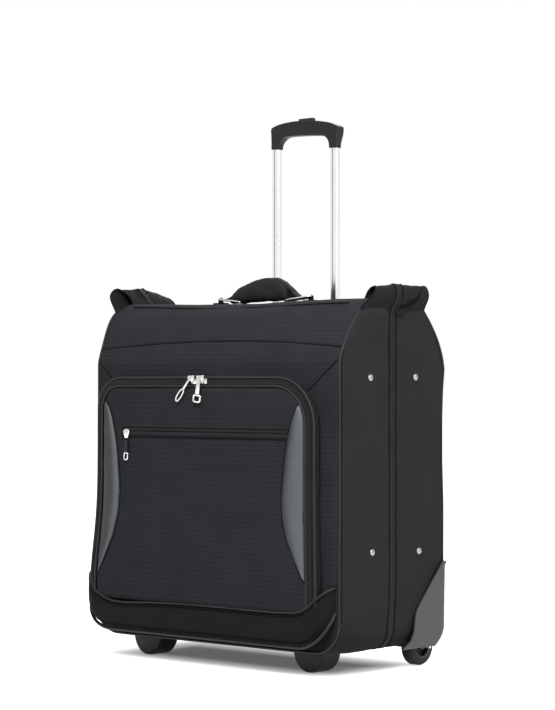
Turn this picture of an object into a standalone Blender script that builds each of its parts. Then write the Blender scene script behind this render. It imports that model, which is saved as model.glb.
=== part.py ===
"""Wheeled bi-fold garment bag with a telescopic trolley handle.

Metres, +Z up, -Y is the front. Pieces are modelled in the front panel's frame (y = 0 on the front panel,
z = 0 on the floor), and one empty moves that frame so that the origin is under the middle of the bag.
"""

import math

import bmesh
import bpy
from mathutils import Matrix, Vector

# Clearances and sheets
GAP = 0.0003
WALL = 0.004
TRIM_SHEET = 0.0012
PLATE = 0.004
SOFT_EDGE = 0.002

# Bag body: two trays that meet at the split plane
BODY_WIDTH = 0.560
BODY_DEPTH = 0.277
BODY_TOP = 0.622
BODY_BOTTOM = 0.038
SPLIT_Y = 0.139
EDGE_R = 0.010
BOTTOM_R = 0.055
TOP_R = 0.020
SHOULDER_POWER = 1.4
FRONT_RUN, FRONT_RISE = 0.085, 0.107
REAR_RUN, REAR_RISE = 0.074, 0.119
PIPING_R = 0.002

# Fold along the top, and the ears over its ends
FOLD_RUN = 0.018
FOLD_MARGIN = 0.035
EAR_HALF_WIDTH = 0.0225
EAR_HALF_HEIGHT = 0.0255
EAR_INSET = 0.010
EAR_SHEET = 0.0024
EAR_FRONT_Y = 0.066
EAR_REAR_MARGIN = 0.050
EAR_SLANT = 0.35

# Main zip
ZIP_TAPE = 0.011
ZIP_COIL = 0.0028
ZIP_COIL_RISE = 0.0018
ZIP_END_DROP = 0.026
MAIN_SLIDER_UPPER_Z = 0.400
MAIN_SLIDER_LOWER_Z = 0.340

# Base band and front pocket
BAND_DEPTH = 0.030
BAND_END_DEPTH = 0.008
BAND_RISE = 0.008
BAND_HEIGHT = 0.058
BAND_END_RISE = 0.046
BAND_MARGIN = 0.0055
POCKET_MARGIN = 0.028
POCKET_DROP = 0.130
POCKET_R = 0.065
GUSSET_DEPTH = 0.022
GUSSET_WALL = 0.003
POCKET_TAPE = 0.0090
PANEL_DEPTH = 0.008
CRESCENT_TIP = 0.018
CRESCENT_WIDTH = 0.036
LOWER_ZIP_DROP = 0.076
LOWER_ZIP_HEIGHT = 0.016
LOWER_ZIP_MARGIN = 0.0414

# Zip sliders and pulls
SLIDER_LENGTH, SLIDER_WIDTH, SLIDER_DEPTH = 0.013, 0.009, 0.005
STUD_R = 0.0012
STUD_LENGTH = 0.0027
PULL_LENGTH = 0.035
PULL_EYE_R = 0.0040
PULL_RING_R = 0.0058
PULL_RING_HOLE = 0.0034
PULL_NECK = 0.0024
PULL_SHEET = 0.0016
SLIDER_LEFT_X, SLIDER_RIGHT_X = -0.013, 0.010
PULL_LEFT_TILT, PULL_RIGHT_TILT = -33.0, -8.0
LOWER_SLIDER_INSET = 0.021
LOWER_PULL_LENGTH = 0.040

# Front feet
FOOT_SIDE_INSET = 0.093
FOOT_FRONT_Y = 0.053
FOOT_HALF_WIDTH = 0.034
FOOT_DEPTH = 0.034
FOOT_FLAT = 0.0006

# Wheels and their corner guards
WHEEL_R = 0.033
WHEEL_WIDTH = 0.022
WHEEL_SIDE_INSET = 0.025
WHEEL_BACK_INSET = 0.038
TYRE_THICKNESS = 0.011
AXLE_R = 0.003
SPOKES = 5
WHEEL_ROOM = 0.003
GUARD_TOP = 0.178
GUARD_KNEE_Z = 0.0965
GUARD_RUN = 0.077
GUARD_TOE = 0.027
GUARD_BACK_REACH = 0.080

# Trolley handle
TUBE_WIDTH, TUBE_DEPTH, TUBE_R, TUBE_WALL = 0.015, 0.0095, 0.003, 0.0012
TUBE_SPACING = 0.136
TROLLEY_INSET = 0.0334
TUBE_FOOT_DROP = 0.092
SLEEVE_WALL = 0.0018
SLEEVE_RUN = 0.0004
SLEEVE_DROP = 0.070
BASE_HEIGHT = 0.030
SOCKET_DEPTH = 0.020
TROLLEY_RISE = 0.330
GRIP_FLARE = 0.017
GRIP_DROP = 0.015
GRIP_BAR = 0.0285
GRIP_HEIGHT = 0.052
GRIP_DEPTH = 0.030
GRIP_LEG = 0.0195
GRIP_SKIN = 0.004
GRIP_ROUND = 0.0065
GRIP_END_R = 0.012
BUTTON_LENGTH, BUTTON_DEPTH, BUTTON_PROUD = 0.039, 0.014, 0.0042
BUTTON_TRAVEL = 0.0035
BAR_THICKNESS = 0.0045
ROD_R = 0.002

# Carry handle
HANDLE_OFFSET_Y = 0.0035
ANCHOR_X = 0.105
PIVOT_RISE = 0.0075
RING_REACH = 0.015
RING_WIRE_R = 0.0015
RING_HALF_WIDTH = 0.0115
ANCHOR_HALF = 0.002
ANCHOR_WALL = 0.002
STRAP_HALF_WIDTH = 0.0085
STRAP_SHEET = 0.0024
PAD_HALF = 0.066
PAD_STAND = 0.028
PAD_RISE = 0.008
PAD_HALF_HEIGHT = 0.0155
PAD_HALF_DEPTH = 0.013

# Inside
HOOP_WIDTH, HOOP_SHEET, HOOP_RISE, HOOP_DROP = 0.012, 0.002, 0.007, 0.0135
HOOP_REAR_ROOM = 0.013
BOARD_MARGIN = 0.030
BOARD_DROP = 0.023
STRAP_Z, STRAP_HEIGHT = 0.330, 0.038
HANGER_SHARE = 0.36
HANGER_DROP, HANGER_LIP, HANGER_HALF = 0.032, 0.012, 0.012

# Sizes that follow from those above
HALF_WIDTH = BODY_WIDTH / 2
BAND_BOTTOM = BODY_BOTTOM + BAND_RISE
BAND_TOP = BAND_BOTTOM + BAND_HEIGHT
POCKET_TOP = BODY_TOP - POCKET_DROP
TAPE_DEPTH = PANEL_DEPTH - SLIDER_DEPTH / 2
FOOT_X = HALF_WIDTH - FOOT_SIDE_INSET
WHEEL_X = HALF_WIDTH - WHEEL_SIDE_INSET
WHEEL_Y = BODY_DEPTH - WHEEL_BACK_INSET
GUARD_FRONT_Y = BODY_DEPTH - GUARD_RUN
GUARD_TOE_Y = GUARD_FRONT_Y - GUARD_TOE
GUARD_BOTTOM = WHEEL_R + 2 * GAP
GUARD_HEEL = 2 * WHEEL_R
TROLLEY_Y = BODY_DEPTH - TROLLEY_INSET
TUBE_FOOT = BODY_TOP - TUBE_FOOT_DROP
SLEEVE_TOP = BODY_TOP - SLEEVE_DROP
GRIP_TOP = BODY_TOP + TROLLEY_RISE
GRIP_FOOT = GRIP_TOP - GRIP_HEIGHT
GRIP_HALF = TUBE_SPACING / 2 + GRIP_FLARE
PAD_CREST = BODY_TOP + PAD_STAND
HOOP_FOOT = BODY_BOTTOM + BOTTOM_R + HOOP_RISE
HOOP_FRONT_Y = 0.94 * FRONT_RUN
HOOP_REAR_Y = BODY_DEPTH - REAR_RUN - HOOP_REAR_ROOM
BOARD_TOP = BODY_TOP - REAR_RISE - BOARD_DROP
HANGER_ROOM = HOOP_REAR_Y - HOOP_WIDTH / 2 - SPLIT_Y
HINGE_Z = BODY_TOP + EAR_HALF_HEIGHT + EAR_SHEET
PANEL_FRONT = -(GUSSET_DEPTH + PANEL_DEPTH + GAP)
FRONT_REACH = ZIP_COIL_RISE + SLIDER_DEPTH + STUD_LENGTH + 2 * GAP - PANEL_FRONT
REAR_REACH = BODY_DEPTH + GAP + PLATE
MIDDLE_Y = (REAR_REACH - FRONT_REACH) / 2
PANEL_BASE = BAND_TOP + 5 * GAP
POCKET_HALF = HALF_WIDTH - POCKET_MARGIN
COIL_INSET = POCKET_TAPE + GAP
PANEL_INSET = 2 * POCKET_TAPE + 2 * GAP
LOWER_ZIP_HALF = POCKET_HALF - PANEL_INSET - LOWER_ZIP_MARGIN
LOWER_SLIDER_X = LOWER_SLIDER_INSET - LOWER_ZIP_HALF
HANDLE_Y = SPLIT_Y - HANDLE_OFFSET_Y
PIVOT_Z = BODY_TOP + PIVOT_RISE
TUBE_TOP = GRIP_FOOT + SOCKET_DEPTH
CHANNEL_FLOOR = GRIP_TOP - GRIP_BAR + GRIP_SKIN
CHANNEL_TOP = CHANNEL_FLOOR + BAR_THICKNESS + BUTTON_TRAVEL + 4 * GAP


bodies = {}


# Helpers for materials, bodies and solids
def material(name, colour, roughness, metallic=0.0):
    found = bpy.data.materials.get(name)
    if found is None:
        found = bpy.data.materials.new(name)
        found.use_nodes = True
        shader = found.node_tree.nodes["Principled BSDF"]
        shader.inputs["Base Color"].default_value = (*colour, 1.0)
        shader.inputs["Roughness"].default_value = roughness
        shader.inputs["Metallic"].default_value = metallic
    return found


def body(name, axis_point, carrier=None):
    """An empty on a body's joint axis, which carries the body's pieces."""
    empty = bpy.data.objects.new(f"{name}_axis", None)
    bpy.context.scene.collection.objects.link(empty)
    bodies[name] = (empty, Vector(axis_point))
    attach(empty, carrier)
    empty.location = axis_point
    return name


def attach(obj, carrier):
    if carrier is not None:
        empty, at = bodies[carrier]
        obj.parent = empty
        if carrier != "bag":
            obj.matrix_parent_inverse = Matrix.Translation(-at)


def solid(name, bm, finish, carrier, bevel=0.0, segments=2, angle=40):
    bmesh.ops.remove_doubles(bm, verts=bm.verts, dist=1e-6)
    bmesh.ops.recalc_face_normals(bm, faces=bm.faces)
    mesh = bpy.data.meshes.new(name)
    bm.to_mesh(mesh)
    bm.free()
    mesh.materials.append(finish)
    mesh.shade_smooth()
    mesh.set_sharp_from_angle(angle=math.radians(35))
    obj = bpy.data.objects.new(name, mesh)
    bpy.context.scene.collection.objects.link(obj)
    attach(obj, carrier)
    if bevel:
        rounding = obj.modifiers.new("edges", "BEVEL")
        rounding.width = bevel
        rounding.segments = segments
        rounding.limit_method = "ANGLE"
        rounding.angle_limit = math.radians(angle)
    return obj


def combine(obj, bm, operation="DIFFERENCE"):
    """Cuts a helper solid out of a piece, or joins it on."""
    name = f"{obj.name}_helper_{len(obj.modifiers)}"
    helper = solid(name, bm, obj.data.materials[0], "bag")
    helper.hide_render = True
    helper.display_type = "WIRE"
    step = obj.modifiers.new(operation.lower(), "BOOLEAN")
    step.operation = operation
    step.object = helper
    step.solver = "EXACT"


def loft(rings, inner=None, blind=False):
    """Skin over rings of points. With inner rings it is a tube, or a tray when its first end is blind."""
    bm = bmesh.new()

    def skin(group):
        loops = [[bm.verts.new(p) for p in ring] for ring in group]
        for low, high in zip(loops, loops[1:]):
            bridge(low, high)
        return loops

    def bridge(low, high):
        for i in range(len(low)):
            j = (i + 1) % len(low)
            bm.faces.new((low[i], low[j], high[j], high[i]))

    outer = skin(rings)
    if inner is None:
        bm.faces.new(outer[0])
        bm.faces.new(outer[-1])
        return bm
    lining = skin(inner)
    bridge(outer[-1], lining[-1])
    if blind:
        bm.faces.new(outer[0])
        bm.faces.new(lining[0])
    else:
        bridge(outer[0], lining[0])
    return bm


def along(axis, u, v, depth):
    """A point from an outline's (u, v), the other two axes in order, and its depth along an axis."""
    return {"x": (depth, u, v), "y": (u, depth, v), "z": (u, v, depth)}[axis]


def prism(outline, axis, low, high):
    return loft([[along(axis, u, v, d) for u, v in outline] for d in (low, high)])


def box(low, high):
    corners = ((low[0], low[1]), (high[0], low[1]), (high[0], high[1]), (low[0], high[1]))
    return prism(corners, "z", low[2], high[2])


def arc(cu, cv, radius, start, end, steps):
    angles = [math.radians(start + (end - start) * i / steps) for i in range(steps + 1)]
    return [(cu + radius * math.cos(a), cv + radius * math.sin(a)) for a in angles]


def drum(axis, u, v, radius, low, high, sides=16):
    circle = arc(u, v, radius, 0, 360, sides)[:-1]
    return prism(circle, axis, low, high)


def rounded(half_u, half_v, radius, steps=3):
    corner = [(half_u - radius, half_v - radius, 0), (radius - half_u, half_v - radius, 90),
              (radius - half_u, radius - half_v, 180), (half_u - radius, radius - half_v, 270)]
    return [p for u, v, start in corner for p in arc(u, v, radius, start, start + 90, steps)]


def turned(profile, x, y, z, sides=28):
    """Turns a closed profile of (radius, x) about an axis along X."""
    bm = bmesh.new()
    rings = []
    for i in range(sides):
        a = 2 * math.pi * i / sides
        rings.append([bm.verts.new((x + px, y + r * math.cos(a), z + r * math.sin(a))) for r, px in profile])
    for i, ring in enumerate(rings):
        after = rings[(i + 1) % sides]
        for j in range(len(profile)):
            k = (j + 1) % len(profile)
            bm.faces.new((ring[j], ring[k], after[k], after[j]))
    return bm


def pipe(name, points, radius, finish, carrier, closed=False):
    data = bpy.data.curves.new(name, "CURVE")
    data.dimensions = "3D"
    data.bevel_depth = radius
    data.bevel_resolution = 1
    data.use_fill_caps = True
    line = data.splines.new("POLY")
    line.points.add(len(points) - 1)
    for point, at in zip(line.points, points):
        point.co = (*at, 1.0)
    line.use_cyclic_u = closed
    data.materials.append(finish)
    obj = bpy.data.objects.new(name, data)
    bpy.context.scene.collection.objects.link(obj)
    attach(obj, carrier)
    return obj


# Outlines of the bag body
def shoulder(run, rise, steps=7):
    """Points of the soft slope from an upright panel (0, 0) up to the flat top (run, rise)."""
    power = 2 / SHOULDER_POWER
    angles = [math.pi / 2 * i / steps for i in range(steps + 1)]
    return [(run * (1 - math.cos(a) ** power), rise * math.sin(a) ** power) for a in angles]


def shoulder_height(distance, run, rise):
    """Height of the slope above its foot at a distance in from the panel."""
    share = max(0.0, 1 - distance / run)
    return rise * (1 - share ** SHOULDER_POWER) ** (1 / SHOULDER_POWER)


def section(half_width, bottom, top, top_radius, bottom_radius):
    """Front-view outline of the body at one depth, as (x, z)."""
    right, low = half_width - bottom_radius, bottom + bottom_radius
    inner, high = half_width - top_radius, top - top_radius
    return (arc(right, low, bottom_radius, -90, 0, 6) + arc(inner, high, top_radius, 0, 90, 3)
            + arc(-inner, high, top_radius, 90, 180, 3) + arc(-right, low, bottom_radius, 180, 270, 6))


def body_stations(run, rise):
    """(distance from the panel, half width, bottom, top, top radius) from the panel in to the flat top."""
    stations = []
    for distance, height in shoulder(run, rise):
        inward = max(0.0, EDGE_R - distance)
        edge = EDGE_R - math.sqrt(EDGE_R ** 2 - inward ** 2)
        top_radius = EDGE_R + (TOP_R - EDGE_R) * (distance / run) ** 3
        top = BODY_TOP - rise + height
        stations.append((distance, HALF_WIDTH - edge, BODY_BOTTOM + edge, top, top_radius))
    return stations


def tray(run, rise, panel_y, inward, rim_y):
    """One half of the bag: a padded wall round a hollow that opens at the split."""
    outer, inner = [], []
    stations = body_stations(run, rise)
    stations.append((abs(rim_y - panel_y), HALF_WIDTH, BODY_BOTTOM, BODY_TOP, TOP_R))
    for number, (distance, half, bottom, top, radius) in enumerate(stations):
        y = panel_y + inward * distance
        lining_y = rim_y if number == len(stations) - 1 else y + inward * WALL
        turn = BOTTOM_R - HALF_WIDTH + half
        outer.append([(x, y, z) for x, z in section(half, bottom, top, radius, turn)])
        lining = section(half - WALL, bottom + WALL, top - WALL, radius - WALL / 2, turn - WALL)
        inner.append([(x, lining_y, z) for x, z in lining])
    return loft(outer, inner, blind=True)


def rim_path(top):
    """The side, bottom and other side of the body as (x, z, outward x, outward z), right side first."""
    right, low = HALF_WIDTH - BOTTOM_R, BODY_BOTTOM + BOTTOM_R
    path = [(HALF_WIDTH, top, 1.0, 0.0)]
    for sign, start, end in ((1, 0, -90), (-1, -90, -180)):
        for nx, nz in arc(0, 0, 1, start, end, 6):
            path.append((sign * right + BOTTOM_R * nx, low + BOTTOM_R * nz, nx, nz))
    path.append((-HALF_WIDTH, top, -1.0, 0.0))
    return path


def arch_path(half, base, top, radius):
    """A doorway outline, right foot first, as (x, z)."""
    return ([(half, base)] + arc(half - radius, top - radius, radius, 0, 90, 5)
            + arc(radius - half, top - radius, radius, 90, 180, 5) + [(-half, base)])


def arch_band(half, base, top, radius, width, low, high):
    inner = arch_path(half - width, base, top - width, radius - width)
    return prism(arch_path(half, base, top, radius) + inner[::-1], "y", low, high)


# Finishes
CLOTH = material("black_cloth", (0.030, 0.031, 0.034), 0.85)
TRIM = material("black_piping", (0.022, 0.022, 0.024), 0.55)
TAPE = material("zip_tape", (0.025, 0.026, 0.028), 0.80)
COATED = material("grey_coated_panel", (0.115, 0.125, 0.138), 0.48)
WEBBING = material("black_webbing", (0.020, 0.020, 0.022), 0.80)
MOULDED = material("grey_moulded_guard", (0.085, 0.090, 0.098), 0.45)
BLACK_PLASTIC = material("black_plastic", (0.018, 0.018, 0.020), 0.45)
RUBBER = material("black_tyre", (0.016, 0.016, 0.017), 0.70)
NICKEL = material("nickel", (0.74, 0.73, 0.71), 0.22, 1.0)
ALUMINIUM = material("polished_aluminium", (0.80, 0.81, 0.83), 0.25, 1.0)
STEEL = material("steel", (0.56, 0.57, 0.58), 0.35, 1.0)
LINING_BOARD = material("lining_board", (0.045, 0.045, 0.048), 0.80)


# Half shells, fold and ears
def build_shells():
    front_tray = tray(FRONT_RUN, FRONT_RISE, 0.0, 1, SPLIT_Y - GAP / 2)
    rear_tray = tray(REAR_RUN, REAR_RISE, BODY_DEPTH, -1, SPLIT_Y + GAP / 2)
    front = solid("front_shell", front_tray, CLOTH, "front_half")
    rear = solid("rear_shell", rear_tray, CLOTH, "rear_half")
    fold = HALF_WIDTH - FOLD_MARGIN
    past = BODY_TOP + 2 * WALL
    below = BODY_TOP - 3 * WALL
    combine(front, box((-fold, SPLIT_Y - FOLD_RUN, below), (fold, SPLIT_Y + WALL, past)))
    solid("fold_strip", box((GAP - fold, SPLIT_Y - FOLD_RUN + GAP, BODY_TOP - WALL),
                            (fold - GAP, SPLIT_Y - GAP / 2, BODY_TOP)), CLOTH, "rear_half")
    for side in (-1, 1):
        inner, outer = side * (well_inner() - GAP), side * (HALF_WIDTH + PLATE)
        combine(rear, box((min(inner, outer), GUARD_FRONT_Y - GAP, BODY_BOTTOM - WALL),
                          (max(inner, outer), BODY_DEPTH + WALL, well_top() + GAP)))
        x = side * TUBE_SPACING / 2
        hole = rounded(TUBE_WIDTH / 2 + 2 * GAP, TUBE_DEPTH / 2 + 2 * GAP, TUBE_R)
        combine(rear, prism([(x + u, TROLLEY_Y + v) for u, v in hole], "z", SLEEVE_TOP, BODY_TOP))


def build_ears():
    centre_z = BODY_TOP
    start = -math.degrees(math.acos((EAR_INSET + GAP + EAR_SHEET / 2) / EAR_HALF_WIDTH))
    for side, label in ((-1, "left"), (1, "right")):
        loop = []
        for offset, steps in ((EAR_SHEET / 2, range(13)), (-EAR_SHEET / 2, range(12, -1, -1))):
            for i in steps:
                a = math.radians(start + (179 - start) * i / 12)
                x = HALF_WIDTH - EAR_INSET + (EAR_HALF_WIDTH + offset) * math.cos(a)
                loop.append((side * x, centre_z + (EAR_HALF_HEIGHT + offset) * math.sin(a)))
        ends = (("front", EAR_FRONT_Y, SPLIT_Y - GAP / 2, EAR_SLANT, 0.0),
                ("rear", SPLIT_Y + GAP / 2, BODY_DEPTH - EAR_REAR_MARGIN, 0.0, EAR_SLANT))
        for half, low, high, low_slant, high_slant in ends:
            rings = [[(x, y + slant * (z - BODY_TOP + EAR_HALF_HEIGHT), z) for x, z in loop]
                     for y, slant in ((low, low_slant), (high, high_slant))]
            solid(f"ear_{half}_{label}", loft(rings), CLOTH, f"{half}_half")


def build_piping():
    """Piping rounds off the front seam, and the rear seam above the guards."""
    corner = EDGE_R - (EDGE_R + PIPING_R + GAP) / math.sqrt(2)
    side, low = HALF_WIDTH - corner, BODY_BOTTOM + corner
    ridge, lift = HALF_WIDTH - PIPING_R / 4, PIPING_R / 4
    front_slope = [(d - lift, BODY_TOP - FRONT_RISE + h + lift)
                   for d, h in shoulder(FRONT_RUN, FRONT_RISE)[1:6]]
    climb = [(ridge, y, z) for y, z in reversed(front_slope)]
    radius = BOTTOM_R - corner
    turn = [(x, corner, z) for x, z in arc(side - radius, low + radius, radius, 0, -90, 6)]
    half = climb + turn
    pipe("front_piping", half + [(-x, y, z) for x, y, z in reversed(half)], PIPING_R, TRIM, "front_half")
    rear_slope = [(BODY_DEPTH - d + lift, BODY_TOP - REAR_RISE + h + lift)
                  for d, h in shoulder(REAR_RUN, REAR_RISE)[1:6]]
    rear_climb = [(ridge, y, z) for y, z in reversed(rear_slope)]
    rear_climb.append((side, BODY_DEPTH - corner, GUARD_TOP + PIPING_R))
    for sign, label in ((-1, "left"), (1, "right")):
        points = [(sign * x, y, z) for x, y, z in rear_climb]
        pipe(f"rear_piping_{label}", points, PIPING_R, TRIM, "rear_half")


def build_main_zip():
    for half, sign in (("front", -1), ("rear", 1)):
        profile = ((ZIP_TAPE, 0), (GAP / 2, 0), (GAP / 2, ZIP_COIL_RISE), (ZIP_COIL, ZIP_COIL_RISE),
                   (ZIP_COIL, TRIM_SHEET), (ZIP_TAPE, TRIM_SHEET))
        rings = [[(x + nx * (GAP + n), SPLIT_Y + sign * across, z + nz * (GAP + n)) for across, n in profile]
                 for x, z, nx, nz in rim_path(BODY_TOP - ZIP_END_DROP)]
        solid(f"{half}_zip_tape", loft(rings), TAPE, f"{half}_half")


# Front pocket and base band
def build_band():
    """A padded bumper whose ends thin out and climb at the bag's corners."""
    half = HALF_WIDTH - BAND_MARGIN
    level = half - BOTTOM_R
    rings = []
    for i in range(-8, 9):
        a = abs(i) / 8
        x = math.copysign(half * math.sin(a * math.pi / 2), i)
        past = max(0.0, abs(x) - level)
        climb = BOTTOM_R - math.sqrt(max(0.0, BOTTOM_R ** 2 - past ** 2))
        share = past / BOTTOM_R
        beside_pocket = max(0.0, abs(x) - POCKET_HALF - 2 * GAP) / (half - POCKET_HALF - 2 * GAP)
        low = BAND_BOTTOM + climb * (BAND_END_RISE + BAND_TOP - BAND_BOTTOM - EDGE_R) / BOTTOM_R
        high = BAND_TOP + BAND_END_RISE * beside_pocket ** 2
        depth = BAND_DEPTH - (BAND_DEPTH - BAND_END_DEPTH) * share ** 2
        tuck = min(EDGE_R * 1.4, (high - low) * 0.6)
        rings.append([(x, -GAP, low), (x, -GAP, high), (x, -depth, high), (x, -depth, low + tuck),
                      (x, -depth * 0.86, low + tuck * 0.35)])
    solid("base_band", loft(rings), CLOTH, "front_half")


def build_pocket():
    solid("pocket_gusset", arch_band(POCKET_HALF, PANEL_BASE, POCKET_TOP, POCKET_R, GUSSET_WALL,
                                     -GUSSET_DEPTH, -GAP), CLOTH, "front_half")
    tape_back = -GUSSET_DEPTH - GAP
    tapes = (("pocket_zip_outer", 0.0, "front_half"), ("pocket_zip_inner", COIL_INSET, "pocket_flap"))
    for name, inset, carrier in tapes:
        band = arch_band(POCKET_HALF - inset, PANEL_BASE, POCKET_TOP - inset, POCKET_R - inset,
                         POCKET_TAPE, tape_back - TAPE_DEPTH, tape_back)
        solid(name, band, TAPE, carrier)
    half, top, radius = POCKET_HALF - PANEL_INSET, POCKET_TOP - PANEL_INSET, POCKET_R - PANEL_INSET
    panel = prism(arch_path(half, PANEL_BASE, top, radius), "y", PANEL_FRONT, tape_back)
    solid("pocket_panel", panel, CLOTH, "pocket_flap", bevel=SOFT_EDGE)
    face = PANEL_FRONT - GAP
    for sign, label in ((-1, "left"), (1, "right")):
        low, high = PANEL_BASE + CRESCENT_TIP, top - CRESCENT_TIP
        edge = half - CRESCENT_TIP / 6
        hollow = []
        for i in range(1, 10):
            share = i / 10
            width = CRESCENT_WIDTH * math.sin(math.pi * share) ** 0.8
            hollow.append((edge - width, low + (high - low) * share))
        outline = [(edge, high), (edge, low)] + hollow
        leaf = prism([(sign * x, z) for x, z in outline], "y", face - TRIM_SHEET, face)
        solid(f"crescent_{label}", leaf, COATED, "pocket_flap")
    middle = lower_zip_z()
    reach = LOWER_ZIP_HALF
    rib = ZIP_COIL_RISE
    zip_profile = ((face, middle - LOWER_ZIP_HEIGHT / 2), (face, middle + LOWER_ZIP_HEIGHT / 2),
                   (face - TRIM_SHEET, middle + LOWER_ZIP_HEIGHT / 2), (face - TRIM_SHEET, middle + ZIP_COIL),
                   (face - rib, middle + ZIP_COIL / 2), (face - rib, middle - ZIP_COIL / 2),
                   (face - TRIM_SHEET, middle - ZIP_COIL), (face - TRIM_SHEET, middle - LOWER_ZIP_HEIGHT / 2))
    solid("lower_zip", prism(zip_profile, "x", -reach, reach), TAPE, "pocket_flap")


def lower_zip_z():
    return POCKET_TOP - PANEL_INSET - LOWER_ZIP_DROP


# Zip sliders and pulls
def slider_block(axis, length, u, v, back, out):
    """A slider that tapers to its tail, and the depth of its face; out is the sign of its outward side."""
    front = back + out * SLIDER_DEPTH
    tail = ((-length / 2, 0.55), (-length / 6, 1.0), (length / 3, 1.0), (length / 2, 0.7))
    outline = [(u + d, v + SLIDER_WIDTH / 2 * w) for d, w in tail]
    outline += [(u + d, v - SLIDER_WIDTH / 2 * w) for d, w in reversed(tail)]
    return prism(outline, axis, min(back, front), max(back, front)), front


def pull_outline(length):
    """Eye at the origin, neck, and a ring hanging below it, as (sideways, up)."""
    eye = math.degrees(math.asin(PULL_NECK / PULL_EYE_R))
    ring = math.degrees(math.asin(PULL_NECK / PULL_RING_R))
    return (arc(0, 0, PULL_EYE_R, -90 + eye, 270 - eye, 8)
            + arc(0, -length, PULL_RING_R, 90 + ring, 450 - ring, 10))


def add_slider(name, pull_name, slider_body, pull_body, axis, u, v, back, out, tilt, length):
    """A slider and its pull; on the front face u is x, on the side face u is y, and v is z."""
    flat = axis == "y"
    block, front = slider_block(axis, SLIDER_LENGTH, *((u, v) if flat else (v, u)), back, out)
    if not flat:
        for vert in block.verts:
            vert.co = Vector((vert.co.x, vert.co.z, vert.co.y))
    slider = solid(name, block, NICKEL, slider_body)
    stud_end = front + out * STUD_LENGTH
    inside = front - out * SLIDER_DEPTH / 2
    combine(slider, drum(axis, u, v, STUD_R, min(inside, stud_end), max(inside, stud_end), 8), "UNION")
    cos, sin = math.cos(math.radians(tilt)), math.sin(math.radians(tilt))
    turn = [(u + a * cos - b * sin, v + a * sin + b * cos) for a, b in pull_outline(length)]
    near, far = front + out * GAP, front + out * (GAP + PULL_SHEET)
    pull = solid(pull_name, prism(turn, axis, min(near, far), max(near, far)), NICKEL, pull_body)
    through = (min(near, far) - PULL_SHEET, max(near, far) + PULL_SHEET)
    combine(pull, drum(axis, u, v, STUD_R + 2 * GAP, *through, 10))
    combine(pull, drum(axis, u + length * sin, v - length * cos, PULL_RING_HOLE, *through, 12))


def build_sliders():
    tape_front = -GUSSET_DEPTH - 2 * GAP - TAPE_DEPTH
    coil_z = POCKET_TOP - COIL_INSET
    pair = (("left", SLIDER_LEFT_X, PULL_LEFT_TILT), ("right", SLIDER_RIGHT_X, PULL_RIGHT_TILT))
    for label, x, tilt in pair:
        add_slider(f"slider_{label}", f"pull_{label}", f"slider_{label}", f"pull_{label}", "y", x,
                   coil_z + SLIDER_WIDTH / 4, tape_front, -1, tilt, PULL_LENGTH)
    zip_front = PANEL_FRONT - 2 * GAP - ZIP_COIL_RISE
    add_slider("lower_slider", "lower_pull", "lower_slider", "lower_pull", "y", LOWER_SLIDER_X, lower_zip_z(),
               zip_front, -1, 0.0, LOWER_PULL_LENGTH)
    side = -(HALF_WIDTH + 2 * GAP + ZIP_COIL_RISE)
    for label, z in (("upper", MAIN_SLIDER_UPPER_Z), ("lower", MAIN_SLIDER_LOWER_Z)):
        add_slider(f"main_slider_{label}", f"main_pull_{label}", f"main_slider_{label}", f"main_pull_{label}",
                   "x", SPLIT_Y, z, side, -1, 0.0, PULL_LENGTH)


# Feet, wheels and guards
def build_feet():
    top = BODY_BOTTOM - GAP
    round_depth = top + FOOT_FLAT
    limit = math.degrees(math.asin(top / round_depth))
    for sign, label in ((-1, "left"), (1, "right")):
        bow = [(FOOT_HALF_WIDTH * math.cos(a), top - round_depth * math.sin(a))
               for part in ((0, limit), (180 - limit, 180))
               for a in [math.radians(part[0] + (part[1] - part[0]) * i / 7) for i in range(8)]]
        outline = [(sign * FOOT_X + u, max(0.0, v)) for u, v in bow]
        foot = prism(outline, "y", FOOT_FRONT_Y, FOOT_FRONT_Y + FOOT_DEPTH)
        solid(f"foot_{label}", foot, BLACK_PLASTIC, "front_half", bevel=SOFT_EDGE, segments=1, angle=60)


def well_inner():
    return WHEEL_X - WHEEL_WIDTH / 2 - WHEEL_ROOM / 2 - PLATE


def well_top():
    return 2 * WHEEL_R + WHEEL_ROOM + PLATE


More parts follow.
